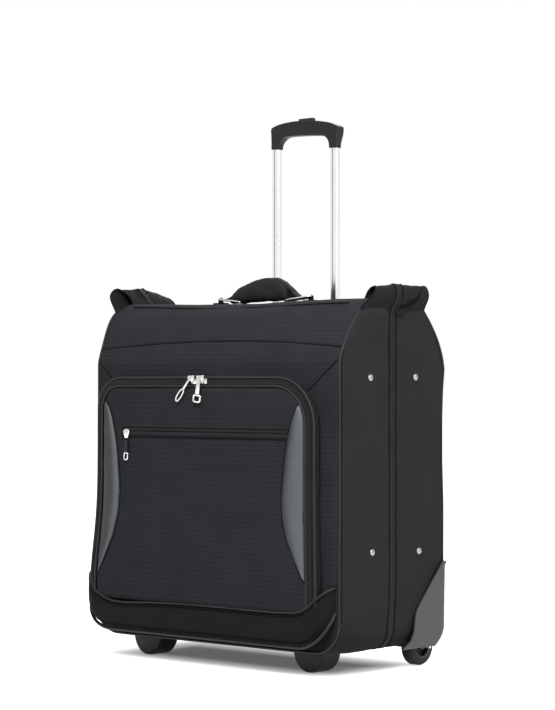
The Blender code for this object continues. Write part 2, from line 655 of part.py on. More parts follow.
def build_guards():
    """A moulded corner: side plate, back plate and wheel arch in one piece."""
    back = BODY_DEPTH + GAP + PLATE
    knee = math.hypot(GUARD_FRONT_Y - GUARD_TOE_Y, GUARD_KNEE_Z - GUARD_BOTTOM) / 3
    flare = arc(GUARD_TOE_Y, GUARD_BOTTOM + knee, knee, -80, 0, 4)
    side_outline = [(back, GUARD_TOP), (GUARD_FRONT_Y, GUARD_KNEE_Z)]
    side_outline.append((GUARD_FRONT_Y, GUARD_BOTTOM + 2 * knee))
    side_outline += reversed(flare)
    side_outline += [(WHEEL_Y + WHEEL_R / 2, GUARD_BOTTOM), (back, GUARD_HEEL)]
    heel = [(WHEEL_Y + WHEEL_R / 2, GUARD_BOTTOM), (back + PLATE, GUARD_HEEL + PLATE),
            (back + PLATE, GUARD_BOTTOM - PLATE), (WHEEL_Y + WHEEL_R / 2, GUARD_BOTTOM - PLATE)]
    for sign, label in ((-1, "left"), (1, "right")):
        near, far = HALF_WIDTH + GAP, HALF_WIDTH + GAP + PLATE
        guard = solid(f"guard_{label}", prism(side_outline, "x", *sorted((sign * near, sign * far))), MOULDED,
                      "rear_half")
        reach = far - GUARD_BACK_REACH
        back_outline = [(far, GUARD_TOP), (far, GUARD_HEEL - PLATE), (reach, GUARD_HEEL - PLATE),
                        (reach, GUARD_KNEE_Z)]
        combine(guard, prism([(sign * x, z) for x, z in back_outline], "y", BODY_DEPTH + GAP, back), "UNION")
        inner, outer = sorted((sign * well_inner(), sign * (near + PLATE / 2)))
        combine(guard, box((inner, GUARD_FRONT_Y, GUARD_BOTTOM),
                           (outer, BODY_DEPTH + GAP + PLATE / 2, well_top())), "UNION")
        room = WHEEL_WIDTH / 2 + WHEEL_ROOM / 2
        combine(guard, drum("x", WHEEL_Y, WHEEL_R, WHEEL_R + WHEEL_ROOM, sign * WHEEL_X - room,
                            sign * WHEEL_X + room, 28))
        combine(guard, prism(heel, "x", *sorted((sign * (well_inner() - PLATE), sign * (far + PLATE)))))
        ends = sorted((sign * (well_inner() + PLATE / 4), sign * (far - PLATE / 4)))
        combine(guard, drum("x", WHEEL_Y, WHEEL_R, AXLE_R + GAP, *ends, 16))
        solid(f"axle_{label}", drum("x", WHEEL_Y, WHEEL_R, AXLE_R, ends[0] + GAP, ends[1] - GAP, 16), STEEL,
              "rear_half")


def build_wheels():
    half = WHEEL_WIDTH / 2
    rim = WHEEL_R - TYRE_THICKNESS
    web, boss, bore = half * 0.3, AXLE_R * 2.3, AXLE_R + GAP
    lip = rim * 0.8
    hub_profile = ((bore, -half), (boss, -half), (boss, -web), (lip, -web), (lip, -half), (rim, -half),
                   (rim, half), (lip, half), (lip, web), (boss, web), (boss, half), (bore, half))
    seat = rim + GAP
    tyre_profile = ((seat, -half), (WHEEL_R * 0.93, -half), (WHEEL_R, -half * 0.55), (WHEEL_R, half * 0.55),
                    (WHEEL_R * 0.93, half), (seat, half))
    for sign, label in ((-1, "left"), (1, "right")):
        x = sign * WHEEL_X
        hub = solid(f"wheel_hub_{label}", turned(hub_profile, x, WHEEL_Y, WHEEL_R), BLACK_PLASTIC,
                    f"wheel_{label}")
        middle = (boss + lip) / 2
        window = (lip - boss) * 0.36
        for i in range(SPOKES):
            a = 2 * math.pi * (i + 0.5) / SPOKES
            combine(hub, drum("x", WHEEL_Y + middle * math.cos(a), WHEEL_R + middle * math.sin(a), window,
                              x - half, x + half, 10))
        solid(f"tyre_{label}", turned(tyre_profile, x, WHEEL_Y, WHEEL_R), RUBBER, f"wheel_{label}")


# Trolley handle
def tube_solid(x, half_u, half_v, radius, wall, low, high):
    outer = [(x + u, TROLLEY_Y + v) for u, v in rounded(half_u, half_v, radius)]
    bore = rounded(half_u - wall, half_v - wall, max(radius - wall, GAP))
    inner = [(x + u, TROLLEY_Y + v) for u, v in bore]
    return loft([[(u, v, z) for u, v in outer] for z in (low, high)],
                [[(u, v, z) for u, v in inner] for z in (low, high)])


def build_trolley_seat():
    half_u = TUBE_WIDTH / 2 + SLEEVE_RUN + SLEEVE_WALL
    half_v = TUBE_DEPTH / 2 + SLEEVE_RUN + SLEEVE_WALL
    floor = BODY_BOTTOM + WALL + GAP
    reach = TUBE_SPACING / 2 + half_u + PLATE
    base = solid("trolley_base", box((-reach, TROLLEY_Y - half_v - PLATE, floor),
                                     (reach, TROLLEY_Y + half_v + PLATE, floor + BASE_HEIGHT)),
                 BLACK_PLASTIC, "rear_half")
    seat = floor + BASE_HEIGHT - SOCKET_DEPTH
    corner = TUBE_R + SLEEVE_RUN + SLEEVE_WALL
    for sign, label in ((-1, "left"), (1, "right")):
        x = sign * TUBE_SPACING / 2
        socket = [(x + u, TROLLEY_Y + v) for u, v in rounded(half_u + GAP, half_v + GAP, corner)]
        combine(base, prism(socket, "z", seat, floor + BASE_HEIGHT + PLATE))
        sleeve = tube_solid(x, half_u, half_v, corner, SLEEVE_WALL, seat + GAP, SLEEVE_TOP)
        solid(f"sleeve_{label}", sleeve, ALUMINIUM, "rear_half")
    low, high = TROLLEY_Y - half_v - PLATE, TROLLEY_Y + half_v + PLATE
    slope = []
    for i in range(6):
        y = low + (high - low) * i / 5
        height = shoulder_height(BODY_DEPTH - y, REAR_RUN, REAR_RISE)
        slope.append((y, BODY_TOP - REAR_RISE + height + 2 * GAP))
    cover = [(y + PLATE * 0.6, z + PLATE * 0.7) for y, z in reversed(slope)]
    collar = solid("trolley_collar", prism(slope + cover, "x", -reach, reach), BLACK_PLASTIC, "rear_half")
    for sign in (-1, 1):
        hole = rounded(TUBE_WIDTH / 2 + 2 * GAP, TUBE_DEPTH / 2 + 2 * GAP, TUBE_R)
        combine(collar, prism([(sign * TUBE_SPACING / 2 + u, TROLLEY_Y + v) for u, v in hole], "z",
                              SLEEVE_TOP, BODY_TOP + PLATE))


def filleted(corners, steps=4):
    """Rounds each corner (u, v, radius) of a closed outline."""
    points = []
    for i, (u, v, radius) in enumerate(corners):
        here = Vector((u, v))
        if not radius:
            points.append((u, v))
            continue
        before = (Vector(corners[i - 1][:2]) - here).normalized()
        after = (Vector(corners[(i + 1) % len(corners)][:2]) - here).normalized()
        half = before.angle(after) / 2
        centre = here + (before + after).normalized() * radius / math.sin(half)
        first, last = here + before * radius / math.tan(half), here + after * radius / math.tan(half)
        for k in range(steps + 1):
            spoke = (first - centre).normalized().slerp((last - centre).normalized(), k / steps)
            points.append(tuple(centre + spoke * radius))
    return points


def inset(outline, distance):
    """Moves each side of a counterclockwise outline inward."""
    moved = []
    for i, point in enumerate(outline):
        here, before, after = Vector(point), Vector(outline[i - 1]), Vector(outline[(i + 1) % len(outline)])
        along_in, along_out = (here - before).normalized(), (after - here).normalized()
        inward = Vector((-along_in.y, along_in.x)) + Vector((-along_out.y, along_out.x))
        moved.append(tuple(here + inward * distance * 2 / inward.length_squared))
    return moved


def grip_outline():
    """Front view of the grip: a low arch that flares out of two legs, as (x, z)."""
    leg_out, leg_in = TUBE_SPACING / 2 + GRIP_LEG / 2, TUBE_SPACING / 2 - GRIP_LEG / 2
    crown = [(GRIP_HALF * i / 4, GRIP_TOP - GRIP_DROP * (i / 4) ** 2, GRIP_END_R if i == 4 else 0.0)
             for i in range(4, -1, -1)]
    right = [(leg_in, GRIP_FOOT, 0.0), (leg_out, GRIP_FOOT, 0.0)] + crown
    corners = right + [(-x, z, r) for x, z, r in reversed(right[:-1])]
    under = GRIP_TOP - GRIP_BAR
    corners += [(-leg_in, under, GRIP_LEG * 0.75), (leg_in, under, GRIP_LEG * 0.75)]
    return filleted(corners)


def build_trolley():
    outline = grip_outline()
    rings = []
    for a in [math.radians(angle) for angle in (-90, -60, -30, 0, 0, 30, 60, 90)]:
        flat = math.copysign(GRIP_DEPTH / 2 - GRIP_ROUND, 1 if len(rings) > 3 else -1)
        y = TROLLEY_Y + flat + GRIP_ROUND * math.sin(a)
        rings.append([(x, y, z) for x, z in inset(outline, GRIP_ROUND * (1 - math.cos(a)))])
    grip = solid("grip", loft(rings), BLACK_PLASTIC, "trolley")
    half_bar = ROD_R + 3 * GAP
    reach = TUBE_SPACING / 2 + half_bar + 2 * GAP
    combine(grip, box((-reach, TROLLEY_Y - half_bar - GAP, CHANNEL_FLOOR),
                      (reach, TROLLEY_Y + half_bar + GAP, CHANNEL_TOP)))
    pocket = rounded(BUTTON_LENGTH / 2 + GAP, BUTTON_DEPTH / 2 + GAP, BUTTON_DEPTH / 3)
    combine(grip, prism([(u, TROLLEY_Y + v) for u, v in pocket], "z", CHANNEL_FLOOR + BAR_THICKNESS,
                        GRIP_TOP + PLATE))
    bar_top = CHANNEL_TOP - GAP
    bar_box = box((GAP - reach, TROLLEY_Y - half_bar, bar_top - BAR_THICKNESS),
                  (reach - GAP, TROLLEY_Y + half_bar, bar_top))
    bar = solid("release_bar", bar_box, BLACK_PLASTIC, "release_button")
    crown = [(BUTTON_LENGTH / 2, BUTTON_DEPTH / 2, bar_top + GAP),
             (BUTTON_LENGTH / 2, BUTTON_DEPTH / 2, GRIP_TOP + BUTTON_PROUD * 0.4),
             (BUTTON_LENGTH / 2 - PLATE / 2, BUTTON_DEPTH / 2 - PLATE / 2, GRIP_TOP + BUTTON_PROUD)]
    button = loft([[(u, TROLLEY_Y + v, z) for u, v in rounded(half_u, half_v, half_v * 0.6)]
                   for half_u, half_v, z in crown])
    solid("release_button", button, BLACK_PLASTIC, "release_button")
    for sign, label in ((-1, "left"), (1, "right")):
        x = sign * TUBE_SPACING / 2
        socket = rounded(TUBE_WIDTH / 2 + GAP, TUBE_DEPTH / 2 + GAP, TUBE_R)
        combine(grip, prism([(x + u, TROLLEY_Y + v) for u, v in socket], "z", GRIP_FOOT - PLATE,
                            TUBE_TOP + GAP))
        combine(grip, drum("z", x, TROLLEY_Y, ROD_R + 2 * GAP, TUBE_TOP - PLATE, CHANNEL_FLOOR + PLATE, 12))
        tube = tube_solid(x, TUBE_WIDTH / 2, TUBE_DEPTH / 2, TUBE_R, TUBE_WALL, TUBE_FOOT, TUBE_TOP)
        solid(f"tube_{label}", tube, ALUMINIUM, "trolley")
        combine(bar, drum("z", x, TROLLEY_Y, ROD_R, TUBE_FOOT, bar_top - BAR_THICKNESS / 2, 10), "UNION")


# Carry handle
def strap_z(x):
    return PAD_CREST - PAD_RISE * (x / PAD_HALF) ** 2


def build_carry_handle():
    outer_x, inner_x = ANCHOR_X, ANCHOR_X - RING_REACH
    bar_z = strap_z(inner_x)
    eye = RING_WIRE_R + 2 * GAP
    steps = [inner_x * i / 8 for i in range(-8, 9)]
    lower = [(x, strap_z(x) - STRAP_SHEET / 2) for x in steps]
    upper = [(x, strap_z(x) + STRAP_SHEET / 2) for x in reversed(steps)]
    low_y, high_y = HANDLE_Y - STRAP_HALF_WIDTH, HANDLE_Y + STRAP_HALF_WIDTH
    strap = solid("handle_strap", prism(lower + upper, "y", low_y, high_y), WEBBING, "carry_handle")
    for sign in (-1, 1):
        combine(strap, drum("y", sign * inner_x, bar_z, eye + STRAP_SHEET, low_y, high_y, 14), "UNION")
    for sign in (-1, 1):
        combine(strap, drum("y", sign * inner_x, bar_z, eye, low_y - PLATE, high_y + PLATE, 12))
    circle = arc(0, 0, 1, 0, 360, 16)[:-1]
    oval = [(math.copysign(abs(u) ** 0.8, u), math.copysign(abs(v) ** 0.8, v)) for u, v in circle]
    slot_u, slot_v = STRAP_HALF_WIDTH + GAP, STRAP_SHEET / 2 + GAP
    slot = [(slot_u * max(-1, min(1, 1.4 * u)), slot_v * max(-1, min(1, 2.2 * v))) for u, v in oval]
    rings, slots = [], []
    for i in range(-5, 6):
        x = PAD_HALF * i / 5
        swell = 0.8 + 0.2 * math.cos(math.pi / 2 * i / 5)
        depth, height = PAD_HALF_DEPTH * swell, PAD_HALF_HEIGHT * swell
        rings.append([(x, HANDLE_Y + depth * u, strap_z(x) + height * v) for u, v in oval])
        slots.append([(x, HANDLE_Y + u, strap_z(x) + v) for u, v in slot])
    solid("handle_pad", loft(rings, slots), CLOTH, "carry_handle")
    for sign, label in ((-1, "left"), (1, "right")):
        ends = ((outer_x, PIVOT_Z), (inner_x, bar_z))
        corner = RING_WIRE_R * 2
        path = []
        for (x, z), (other_x, other_z), way in ((ends[0], ends[1], 1), (ends[1], ends[0], -1)):
            length = math.hypot(other_x - x, other_z - z)
            step_x, step_z = (other_x - x) * corner / length, (other_z - z) * corner / length
            near = (sign * (x + step_x), z + step_z)
            path.append((near[0], HANDLE_Y - way * RING_HALF_WIDTH, near[1]))
            path.append((sign * x, HANDLE_Y - way * (RING_HALF_WIDTH - corner), z))
            path.append((sign * x, HANDLE_Y + way * (RING_HALF_WIDTH - corner), z))
            path.append((near[0], HANDLE_Y + way * RING_HALF_WIDTH, near[1]))
        pipe(f"handle_ring_{label}", path, RING_WIRE_R, NICKEL, "carry_handle", closed=True)
        loose = RING_WIRE_R + 3 * GAP
        seat, cheek = BODY_TOP + GAP, loose + ANCHOR_WALL
        sewn = seat + STRAP_SHEET / 2
        loop = [(-cheek, sewn), (cheek, sewn)] + arc(0, PIVOT_Z, cheek, 0, 180, 8)
        eyelet = prism([(sign * outer_x + u, v) for u, v in loop], "y", HANDLE_Y - ANCHOR_HALF,
                       HANDLE_Y + ANCHOR_HALF)
        anchor = solid(f"handle_anchor_{label}", eyelet, WEBBING, "rear_half")
        combine(anchor, box((sign * outer_x - 3 * PLATE, HANDLE_Y - 2 * PLATE, seat),
                            (sign * outer_x + 3 * PLATE, HANDLE_Y + 2 * PLATE, seat + STRAP_SHEET)), "UNION")
        combine(anchor, drum("y", sign * outer_x, PIVOT_Z, loose, HANDLE_Y - PLATE, HANDLE_Y + PLATE, 14))


# Inside pieces
def build_inside():
    side = HALF_WIDTH - WALL - GAP
    for half, y in (("front", HOOP_FRONT_Y), ("rear", HOOP_REAR_Y)):
        hoop = arch_band(side, HOOP_FOOT, BODY_TOP - HOOP_DROP, TOP_R, HOOP_SHEET, y - HOOP_WIDTH / 2,
                         y + HOOP_WIDTH / 2)
        solid(f"{half}_hoop", hoop, LINING_BOARD, f"{half}_half")
    board_back = BODY_DEPTH - WALL - GAP
    board = HALF_WIDTH - BOARD_MARGIN
    solid("back_board", box((-board, board_back - HOOP_SHEET, HOOP_FOOT), (board, board_back, BOARD_TOP)),
          LINING_BOARD, "rear_half")
    strap_back = TROLLEY_Y - TUBE_DEPTH / 2 - SLEEVE_RUN - SLEEVE_WALL - GAP
    solid("garment_strap", box((-side, strap_back - TRIM_SHEET, STRAP_Z - STRAP_HEIGHT / 2),
                               (side, strap_back, STRAP_Z + STRAP_HEIGHT / 2)), WEBBING, "rear_half")
    ceiling, stem_y = BODY_TOP - WALL - GAP, SPLIT_Y + (HANGER_ROOM - PLATE) / 2
    back, lip = stem_y + HANGER_SHARE * HANGER_ROOM, stem_y - HANGER_SHARE * HANGER_ROOM
    plate, foot = ceiling - PLATE, ceiling - HANGER_DROP
    outline = [(lip, ceiling), (back, ceiling), (back, plate), (stem_y + PLATE, plate),
               (stem_y + PLATE, foot), (lip, foot), (lip, foot + HANGER_LIP), (lip + PLATE, foot + HANGER_LIP),
               (lip + PLATE, foot + PLATE), (stem_y, foot + PLATE), (stem_y, plate), (lip, plate)]
    solid("hanger_bracket", prism(outline, "x", -HANGER_HALF, HANGER_HALF), BLACK_PLASTIC, "rear_half")


def build_bodies():
    """Empties on the joint axes, in the order in which they carry one another."""
    body("bag", (0, -MIDDLE_Y, 0))
    body("rear_half", (0, SPLIT_Y, 0), "bag")
    body("front_half", (0, SPLIT_Y, HINGE_Z), "rear_half")
    body("trolley", (0, TROLLEY_Y, TUBE_FOOT), "rear_half")
    body("release_button", (0, TROLLEY_Y, GRIP_TOP), "trolley")
    body("carry_handle", (0, HANDLE_Y, PIVOT_Z), "rear_half")
    body("pocket_flap", (0, PANEL_FRONT, BAND_TOP + 3 * GAP), "front_half")
    stud_z = POCKET_TOP - COIL_INSET + SLIDER_WIDTH / 4
    for label, x in (("left", SLIDER_LEFT_X), ("right", SLIDER_RIGHT_X)):
        body(f"wheel_{label}", (WHEEL_X if label == "right" else -WHEEL_X, WHEEL_Y, WHEEL_R), "rear_half")
        body(f"slider_{label}", (x, PANEL_FRONT, stud_z), "pocket_flap")
        body(f"pull_{label}", (x, PANEL_FRONT, stud_z), f"slider_{label}")
    body("lower_slider", (LOWER_SLIDER_X, PANEL_FRONT, lower_zip_z()), "pocket_flap")
    body("lower_pull", (LOWER_SLIDER_X, PANEL_FRONT, lower_zip_z()), "lower_slider")
    for label, z in (("upper", MAIN_SLIDER_UPPER_Z), ("lower", MAIN_SLIDER_LOWER_Z)):
        body(f"main_slider_{label}", (-HALF_WIDTH, SPLIT_Y, z), "rear_half")
        body(f"main_pull_{label}", (-HALF_WIDTH, SPLIT_Y, z), f"main_slider_{label}")


for old in list(bpy.data.objects):
    bpy.data.objects.remove(old, do_unlink=True)
build_bodies()
build_shells()
build_ears()
build_piping()
build_main_zip()
build_band()
build_pocket()
build_sliders()
build_feet()
build_guards()
build_wheels()
build_trolley_seat()
build_trolley()
build_carry_handle()
build_inside()
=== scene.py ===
import bisect
import math

import bpy
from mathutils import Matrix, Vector, noise


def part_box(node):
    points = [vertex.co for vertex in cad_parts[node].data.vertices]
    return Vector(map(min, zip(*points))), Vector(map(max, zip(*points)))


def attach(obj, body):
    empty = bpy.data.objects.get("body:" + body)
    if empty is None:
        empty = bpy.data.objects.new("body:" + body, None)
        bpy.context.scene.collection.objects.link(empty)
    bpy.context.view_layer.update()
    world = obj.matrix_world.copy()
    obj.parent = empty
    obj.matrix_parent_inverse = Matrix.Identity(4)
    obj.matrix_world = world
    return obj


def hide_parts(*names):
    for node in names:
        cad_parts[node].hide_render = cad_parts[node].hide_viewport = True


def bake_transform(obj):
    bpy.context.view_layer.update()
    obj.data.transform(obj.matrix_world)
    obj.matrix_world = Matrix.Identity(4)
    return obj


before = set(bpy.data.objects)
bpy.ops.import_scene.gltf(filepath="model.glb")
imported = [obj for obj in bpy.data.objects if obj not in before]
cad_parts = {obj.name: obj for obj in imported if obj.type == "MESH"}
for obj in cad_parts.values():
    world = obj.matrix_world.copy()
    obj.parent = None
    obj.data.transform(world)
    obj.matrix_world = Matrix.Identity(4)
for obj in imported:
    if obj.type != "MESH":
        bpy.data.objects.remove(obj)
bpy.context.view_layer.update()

SIDES = ((-1, "left"), (1, "right"))


# Studio: a white floor under a white sky, a soft lamp high on the right, weaker ones beside and
# behind, and the camera at the photograph's angle: level, 41 degrees round to the right, through a long
# lens. The floor's glow is cut in a box round the bag and fades back outside it: a painted shadow area.
CAMERA_SPOT = (2.5148, -2.8450, 0.4803)
CAMERA_TURN = 41.0
LENS = 110.19
HORIZON_SHIFT = 29 / 710
SKY_LIGHT = 0.45
SHADOW_HALF, SHADOW_FADE, SHADOW_LIFT = (0.20, 0.05, 0.0), 0.15, 0.10


def node(material, kind, inputs=None, **settings):
    """Adds a node to a material or world; an input is a value or another node's output."""
    made = material.node_tree.nodes.new(kind)
    for key, value in settings.items():
        setattr(made, key, value)
    for key, value in (inputs or {}).items():
        if isinstance(value, bpy.types.NodeSocket):
            material.node_tree.links.new(value, made.inputs[key])
        else:
            made.inputs[key].default_value = value
    return made


def seen_directly(material):
    """1 where the camera, a mirror or glass sees the surface, and 0 where it only gives light."""
    path = node(material, "ShaderNodeLightPath")
    either = node(material, "ShaderNodeMath",
                  {0: path.outputs["Is Camera Ray"], 1: path.outputs["Is Glossy Ray"]}, operation="MAXIMUM")
    return node(material, "ShaderNodeMath", {0: either.outputs[0], 1: path.outputs["Is Transmission Ray"]},
                operation="MAXIMUM").outputs[0]


scene = bpy.context.scene
scene.view_settings.view_transform = "Standard"
world = bpy.data.worlds.new("white_room")
world.use_nodes = True
world.node_tree.nodes.clear()
glow = node(world, "ShaderNodeBackground", {"Color": (1, 1, 1, 1), "Strength": SKY_LIGHT})
white = node(world, "ShaderNodeBackground", {"Color": (1, 1, 1, 1), "Strength": 1.0})
sky = node(world, "ShaderNodeMixShader", {0: seen_directly(world), 1: glow.outputs[0], 2: white.outputs[0]})
node(world, "ShaderNodeOutputWorld", {"Surface": sky.outputs[0]})
scene.world = world

bpy.ops.object.select_all(action="DESELECT")
bpy.ops.mesh.primitive_plane_add(size=60, location=(0, 0, -0.0004))
floor = bpy.context.object
floor.name = "floor"
paper = bpy.data.materials.new("white_paper")
paper.use_nodes = True
paper.node_tree.nodes.clear()
# Painted shadow area: the floor's glow drops in a box round the bag, so its shadow shows only there.
place_on_floor = node(paper, "ShaderNodeTexCoord").outputs["Object"]
either_side = node(paper, "ShaderNodeVectorMath", {0: place_on_floor}, operation="ABSOLUTE").outputs[0]
beyond = node(paper, "ShaderNodeVectorMath", {0: either_side, 1: SHADOW_HALF},
              operation="SUBTRACT").outputs[0]
outside = node(paper, "ShaderNodeVectorMath", {0: beyond, 1: (0.0, 0.0, 0.0)},
               operation="MAXIMUM").outputs[0]
away = node(paper, "ShaderNodeVectorMath", {0: outside}, operation="LENGTH").outputs["Value"]
lift = node(paper, "ShaderNodeMapRange", {"Value": away, "From Max": SHADOW_FADE, "To Min": SHADOW_LIFT,
                                          "To Max": 1.0})
matt = node(paper, "ShaderNodeBsdfDiffuse", {"Color": (0.92, 0.92, 0.925, 1)})
bright = node(paper, "ShaderNodeEmission", {"Color": (1, 1, 1, 1), "Strength": lift.outputs[0]})
lifted = node(paper, "ShaderNodeAddShader", {0: matt.outputs[0], 1: bright.outputs[0]})
bounce = node(paper, "ShaderNodeBsdfDiffuse", {"Color": (0.20, 0.20, 0.20, 1)})
floor_mix = node(paper, "ShaderNodeMixShader",
                 {0: seen_directly(paper), 1: bounce.outputs[0], 2: lifted.outputs[0]})
node(paper, "ShaderNodeOutputMaterial", {"Surface": floor_mix.outputs[0]})
floor.data.materials.append(paper)

bpy.ops.object.camera_add(location=CAMERA_SPOT, rotation=(math.radians(90), 0, math.radians(CAMERA_TURN)))
camera = bpy.context.object
camera.data.lens = LENS
camera.data.shift_y = HORIZON_SHIFT
scene.camera = camera

LAMPS = (("key_lamp", (1.4, -2.0, 2.2), 1.2, 90.0), ("side_lamp", (3.0, 0.4, 1.6), 1.4, 30.0),
         ("back_lamp", (-0.8, 2.4, 2.4), 1.6, 40.0))
for lamp_name, lamp_spot, lamp_size, lamp_power in LAMPS:
    aim = (Vector((0, 0, 0.35)) - Vector(lamp_spot)).to_track_quat("-Z", "Y").to_euler()
    bpy.ops.object.light_add(type="AREA", location=lamp_spot, rotation=aim)
    lamp = bpy.context.object
    lamp.name = lamp_name
    lamp.data.size = lamp_size
    lamp.data.energy = lamp_power


# Front panel: ribbed black nylon over thin foam, lined inside. It goes up the front and over the sloping
# shoulder as two cuts, a lower field and a yoke, which meet in an arched seam; the turned edges of both dip
# into that seam.
front_low, front_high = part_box("front_shell")
rear_low, rear_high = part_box("rear_shell")
HALF, TOP, BOTTOM = front_high.x, front_high.z, front_low.z
FRONT, BACK = front_low.y, rear_high.y
SPLIT = (front_high.y + rear_low.y) / 2
CORNER, EDGE = 0.055, 0.010
FRONT_RUN, FRONT_RISE, FRONT_ROUND = 0.085, 0.107, 1.4
FOLD_FRONT = -0.016
SEAM_Z, SEAM_ARCH = 0.554, 0.013
CLOTH_WALL = 0.003
SWELL_Z, SWELL_SPAN, SIDE_SWELL, FORWARD_SWELL = 0.125, 0.105, 0.016, 0.0066
SHOULDER_Z, SHOULDER_SPAN, SHOULDER_OUT, SHOULDER_UP = 0.604, 0.042, 0.007, 0.005
SAG_DEPTH, SAG_SPAN, SAG_FROM = 0.0042, 0.13, 0.598


def only(piece):
    bpy.ops.object.select_all(action="DESELECT")
    piece.select_set(True)
    bpy.context.view_layer.objects.active = piece


def press(piece, kind, **settings):
    """Adds a modifier and applies it."""
    only(piece)
    modifier = piece.modifiers.new(kind, kind)
    for key, value in settings.items():
        setattr(modifier, key, value)
    bpy.ops.object.modifier_apply(modifier=modifier.name)
    return piece


def thicken(sheet, thickness, lined=False):
    """Gives a sheet its thickness on its inner side, which shows the second material if it is lined."""
    lining = {"material_offset": 1, "material_offset_rim": 0} if lined else {}
    return press(sheet, "SOLIDIFY", thickness=thickness, offset=-1.0, **lining)


def bevel(piece, width, segments, angle):
    """Rounds the edges that turn by more than an angle in degrees."""
    return press(piece, "BEVEL", width=width, segments=segments, limit_method="ANGLE",
                 angle_limit=math.radians(angle))


def edit(piece, *steps):
    """Runs edit-mode operators, each given with its settings, on the whole of a piece."""
    only(piece)
    bpy.ops.object.mode_set(mode="EDIT")
    bpy.ops.mesh.select_all(action="SELECT")
    for operator, settings in steps:
        operator(**settings)
    bpy.ops.object.mode_set(mode="OBJECT")
    return piece


def lay_cloth(name, across, along, place):
    """A grid of cloth: place(s, t), each from 0 to 1, gives a point and its spot on the flat cloth in
    metres."""
    bpy.ops.object.select_all(action="DESELECT")
    bpy.ops.mesh.primitive_grid_add(x_subdivisions=across, y_subdivisions=along, size=1)
    piece = bpy.context.object
    piece.name = piece.data.name = name
    flat = []
    for vertex in piece.data.vertices:
        vertex.co, spot_on_cloth = place(vertex.co.x + 0.5, vertex.co.y + 0.5)
        flat.append(spot_on_cloth)
    for loop, corner in zip(piece.data.loops, piece.data.uv_layers[0].data):
        corner.uv = flat[loop.vertex_index]
    piece.data.update()
    return piece


def rumple(piece, amount, size, shift=0.0):
    """Small dents and swells, pushed in along the cloth's own normals."""
    moves = [vertex.normal * amount * noise.noise(vertex.co / size + Vector((shift, shift, 0)))
             for vertex in piece.data.vertices]
    for vertex, move in zip(piece.data.vertices, moves):
        vertex.co += move
    piece.data.update()
    return piece


def dress(piece, body, slot, *finishes, stands_for=(), flat=False):
    """Gives a finished piece its materials, its shading and its place in the assembly."""
    piece.data.materials.clear()
    for finish in finishes:
        piece.data.materials.append(finish)
    only(piece)
    if flat:
        bpy.ops.object.shade_smooth_by_angle(angle=math.radians(38))
    else:
        bpy.ops.object.shade_smooth()
    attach(piece, body)
    if stands_for:
        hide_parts(*stands_for)
    return piece


def half_width(z):
    """Half the bag's width at a height: it narrows round the bottom corners."""
    below = max(0.0, BOTTOM + CORNER - z)
    return HALF - CORNER + math.sqrt(max(0.0, CORNER ** 2 - below ** 2))


def ease(share):
    """Smooth step from 0 to 1."""
    share = min(1.0, max(0.0, share))
    return share * share * (3 - 2 * share)


def quarter(steps):
    """Angles from 0 to a quarter turn."""
    return [math.pi / 2 * k / steps for k in range(steps + 1)]


def edgeward(s):
    """A share from -1 to 1, by a share from 0 to 1, that crowds toward both ends."""
    return math.sin((s - 0.5) * math.pi)


def bent(value, power):
    """A value raised to a power, with its sign kept."""
    return math.copysign(abs(value) ** power, value)


def slump(z):
    """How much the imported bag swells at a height, from 0 to 1."""
    return math.exp(-((z - SWELL_Z) / SWELL_SPAN) ** 2)


def sag(x, z):
    """How far the top sinks under the carry handle."""
    return SAG_DEPTH * math.exp(-(x / SAG_SPAN) ** 2) * ease((z - SAG_FROM) / 0.020)


def settle(x, y, z):
    """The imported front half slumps: low down it swells forward and sideways, and its left shoulder stands
    proud."""
    forward = min(1.15, max(0.0, (SPLIT - y) / (SPLIT - FRONT)))
    proud = (ease((-x - 0.10) / 0.18) * math.exp(-((z - SHOULDER_Z) / SHOULDER_SPAN) ** 2)
             * min(1.0, forward * 1.6))
    return Vector((x * (1 + SIDE_SWELL * slump(z) * forward) - SHOULDER_OUT * proud,
                   y - FORWARD_SWELL * slump(z) * forward ** 2 - SHOULDER_OUT * proud,
                   z + SHOULDER_UP * proud - sag(x, z)))


def measured(points):
    """A line of points with the distance run at each."""
    run = [0.0]
    for a, b in zip(points, points[1:]):
        run.append(run[-1] + math.dist(a, b))
    return points, run


def spot(line, distance):
    """The point at a distance along a measured line, and its unit direction there."""
    points, run = line
    k = min(max(bisect.bisect_right(run, distance) - 1, 0), len(points) - 2)
    a, b = Vector(points[k]), Vector(points[k + 1])
    return a + (b - a) * (distance - run[k]) / (run[k + 1] - run[k]), (b - a).normalized()


def side_view(panel_y, inward, run, rise, power, fold_y):
    """A half's panel seen from the side as (y, z): bottom edge, upright, sloping shoulder, flat top to the
    fold."""
    line = []
    for step in range(5):
        a = math.radians(45 + 45 * step / 4)
        line.append((panel_y + inward * EDGE * (1 - math.sin(a)), BOTTOM + EDGE * (1 - math.cos(a))))
    for a in quarter(40):
        line.append((panel_y + inward * run * (1 - math.cos(a) ** (2 / power)),
                     TOP - rise + rise * math.sin(a) ** (2 / power)))
    line.append((fold_y, TOP))
    return measured(line)


def reach(line, z):
    """The distance along a side view at which it climbs to a height."""
    points, run = line
    for k in range(len(points) - 1):
        low, high = points[k][1], points[k + 1][1]
        if low <= z <= high and high > low:
            return run[k] + (run[k + 1] - run[k]) * (z - low) / (high - low)
    return run[-1]


def rolled(distance, width, depth):
    """How far an edge is turned in, by its distance from that edge."""
    return depth * max(0.0, 1 - distance / width) ** 2


def panel_point(line, inward, x, distance, tuck=0.0):
    """A point on a half's panel, with its edges rounded back to the side seams."""
    (y, z), (ty, tz) = spot(line, distance)
    narrow = max(0.0, EDGE - (half_width(z) - abs(x)))
    back = EDGE - math.sqrt(max(0.0, EDGE ** 2 - narrow ** 2)) + tuck
    return Vector((x, y + inward * tz * back, z - inward * ty * back))


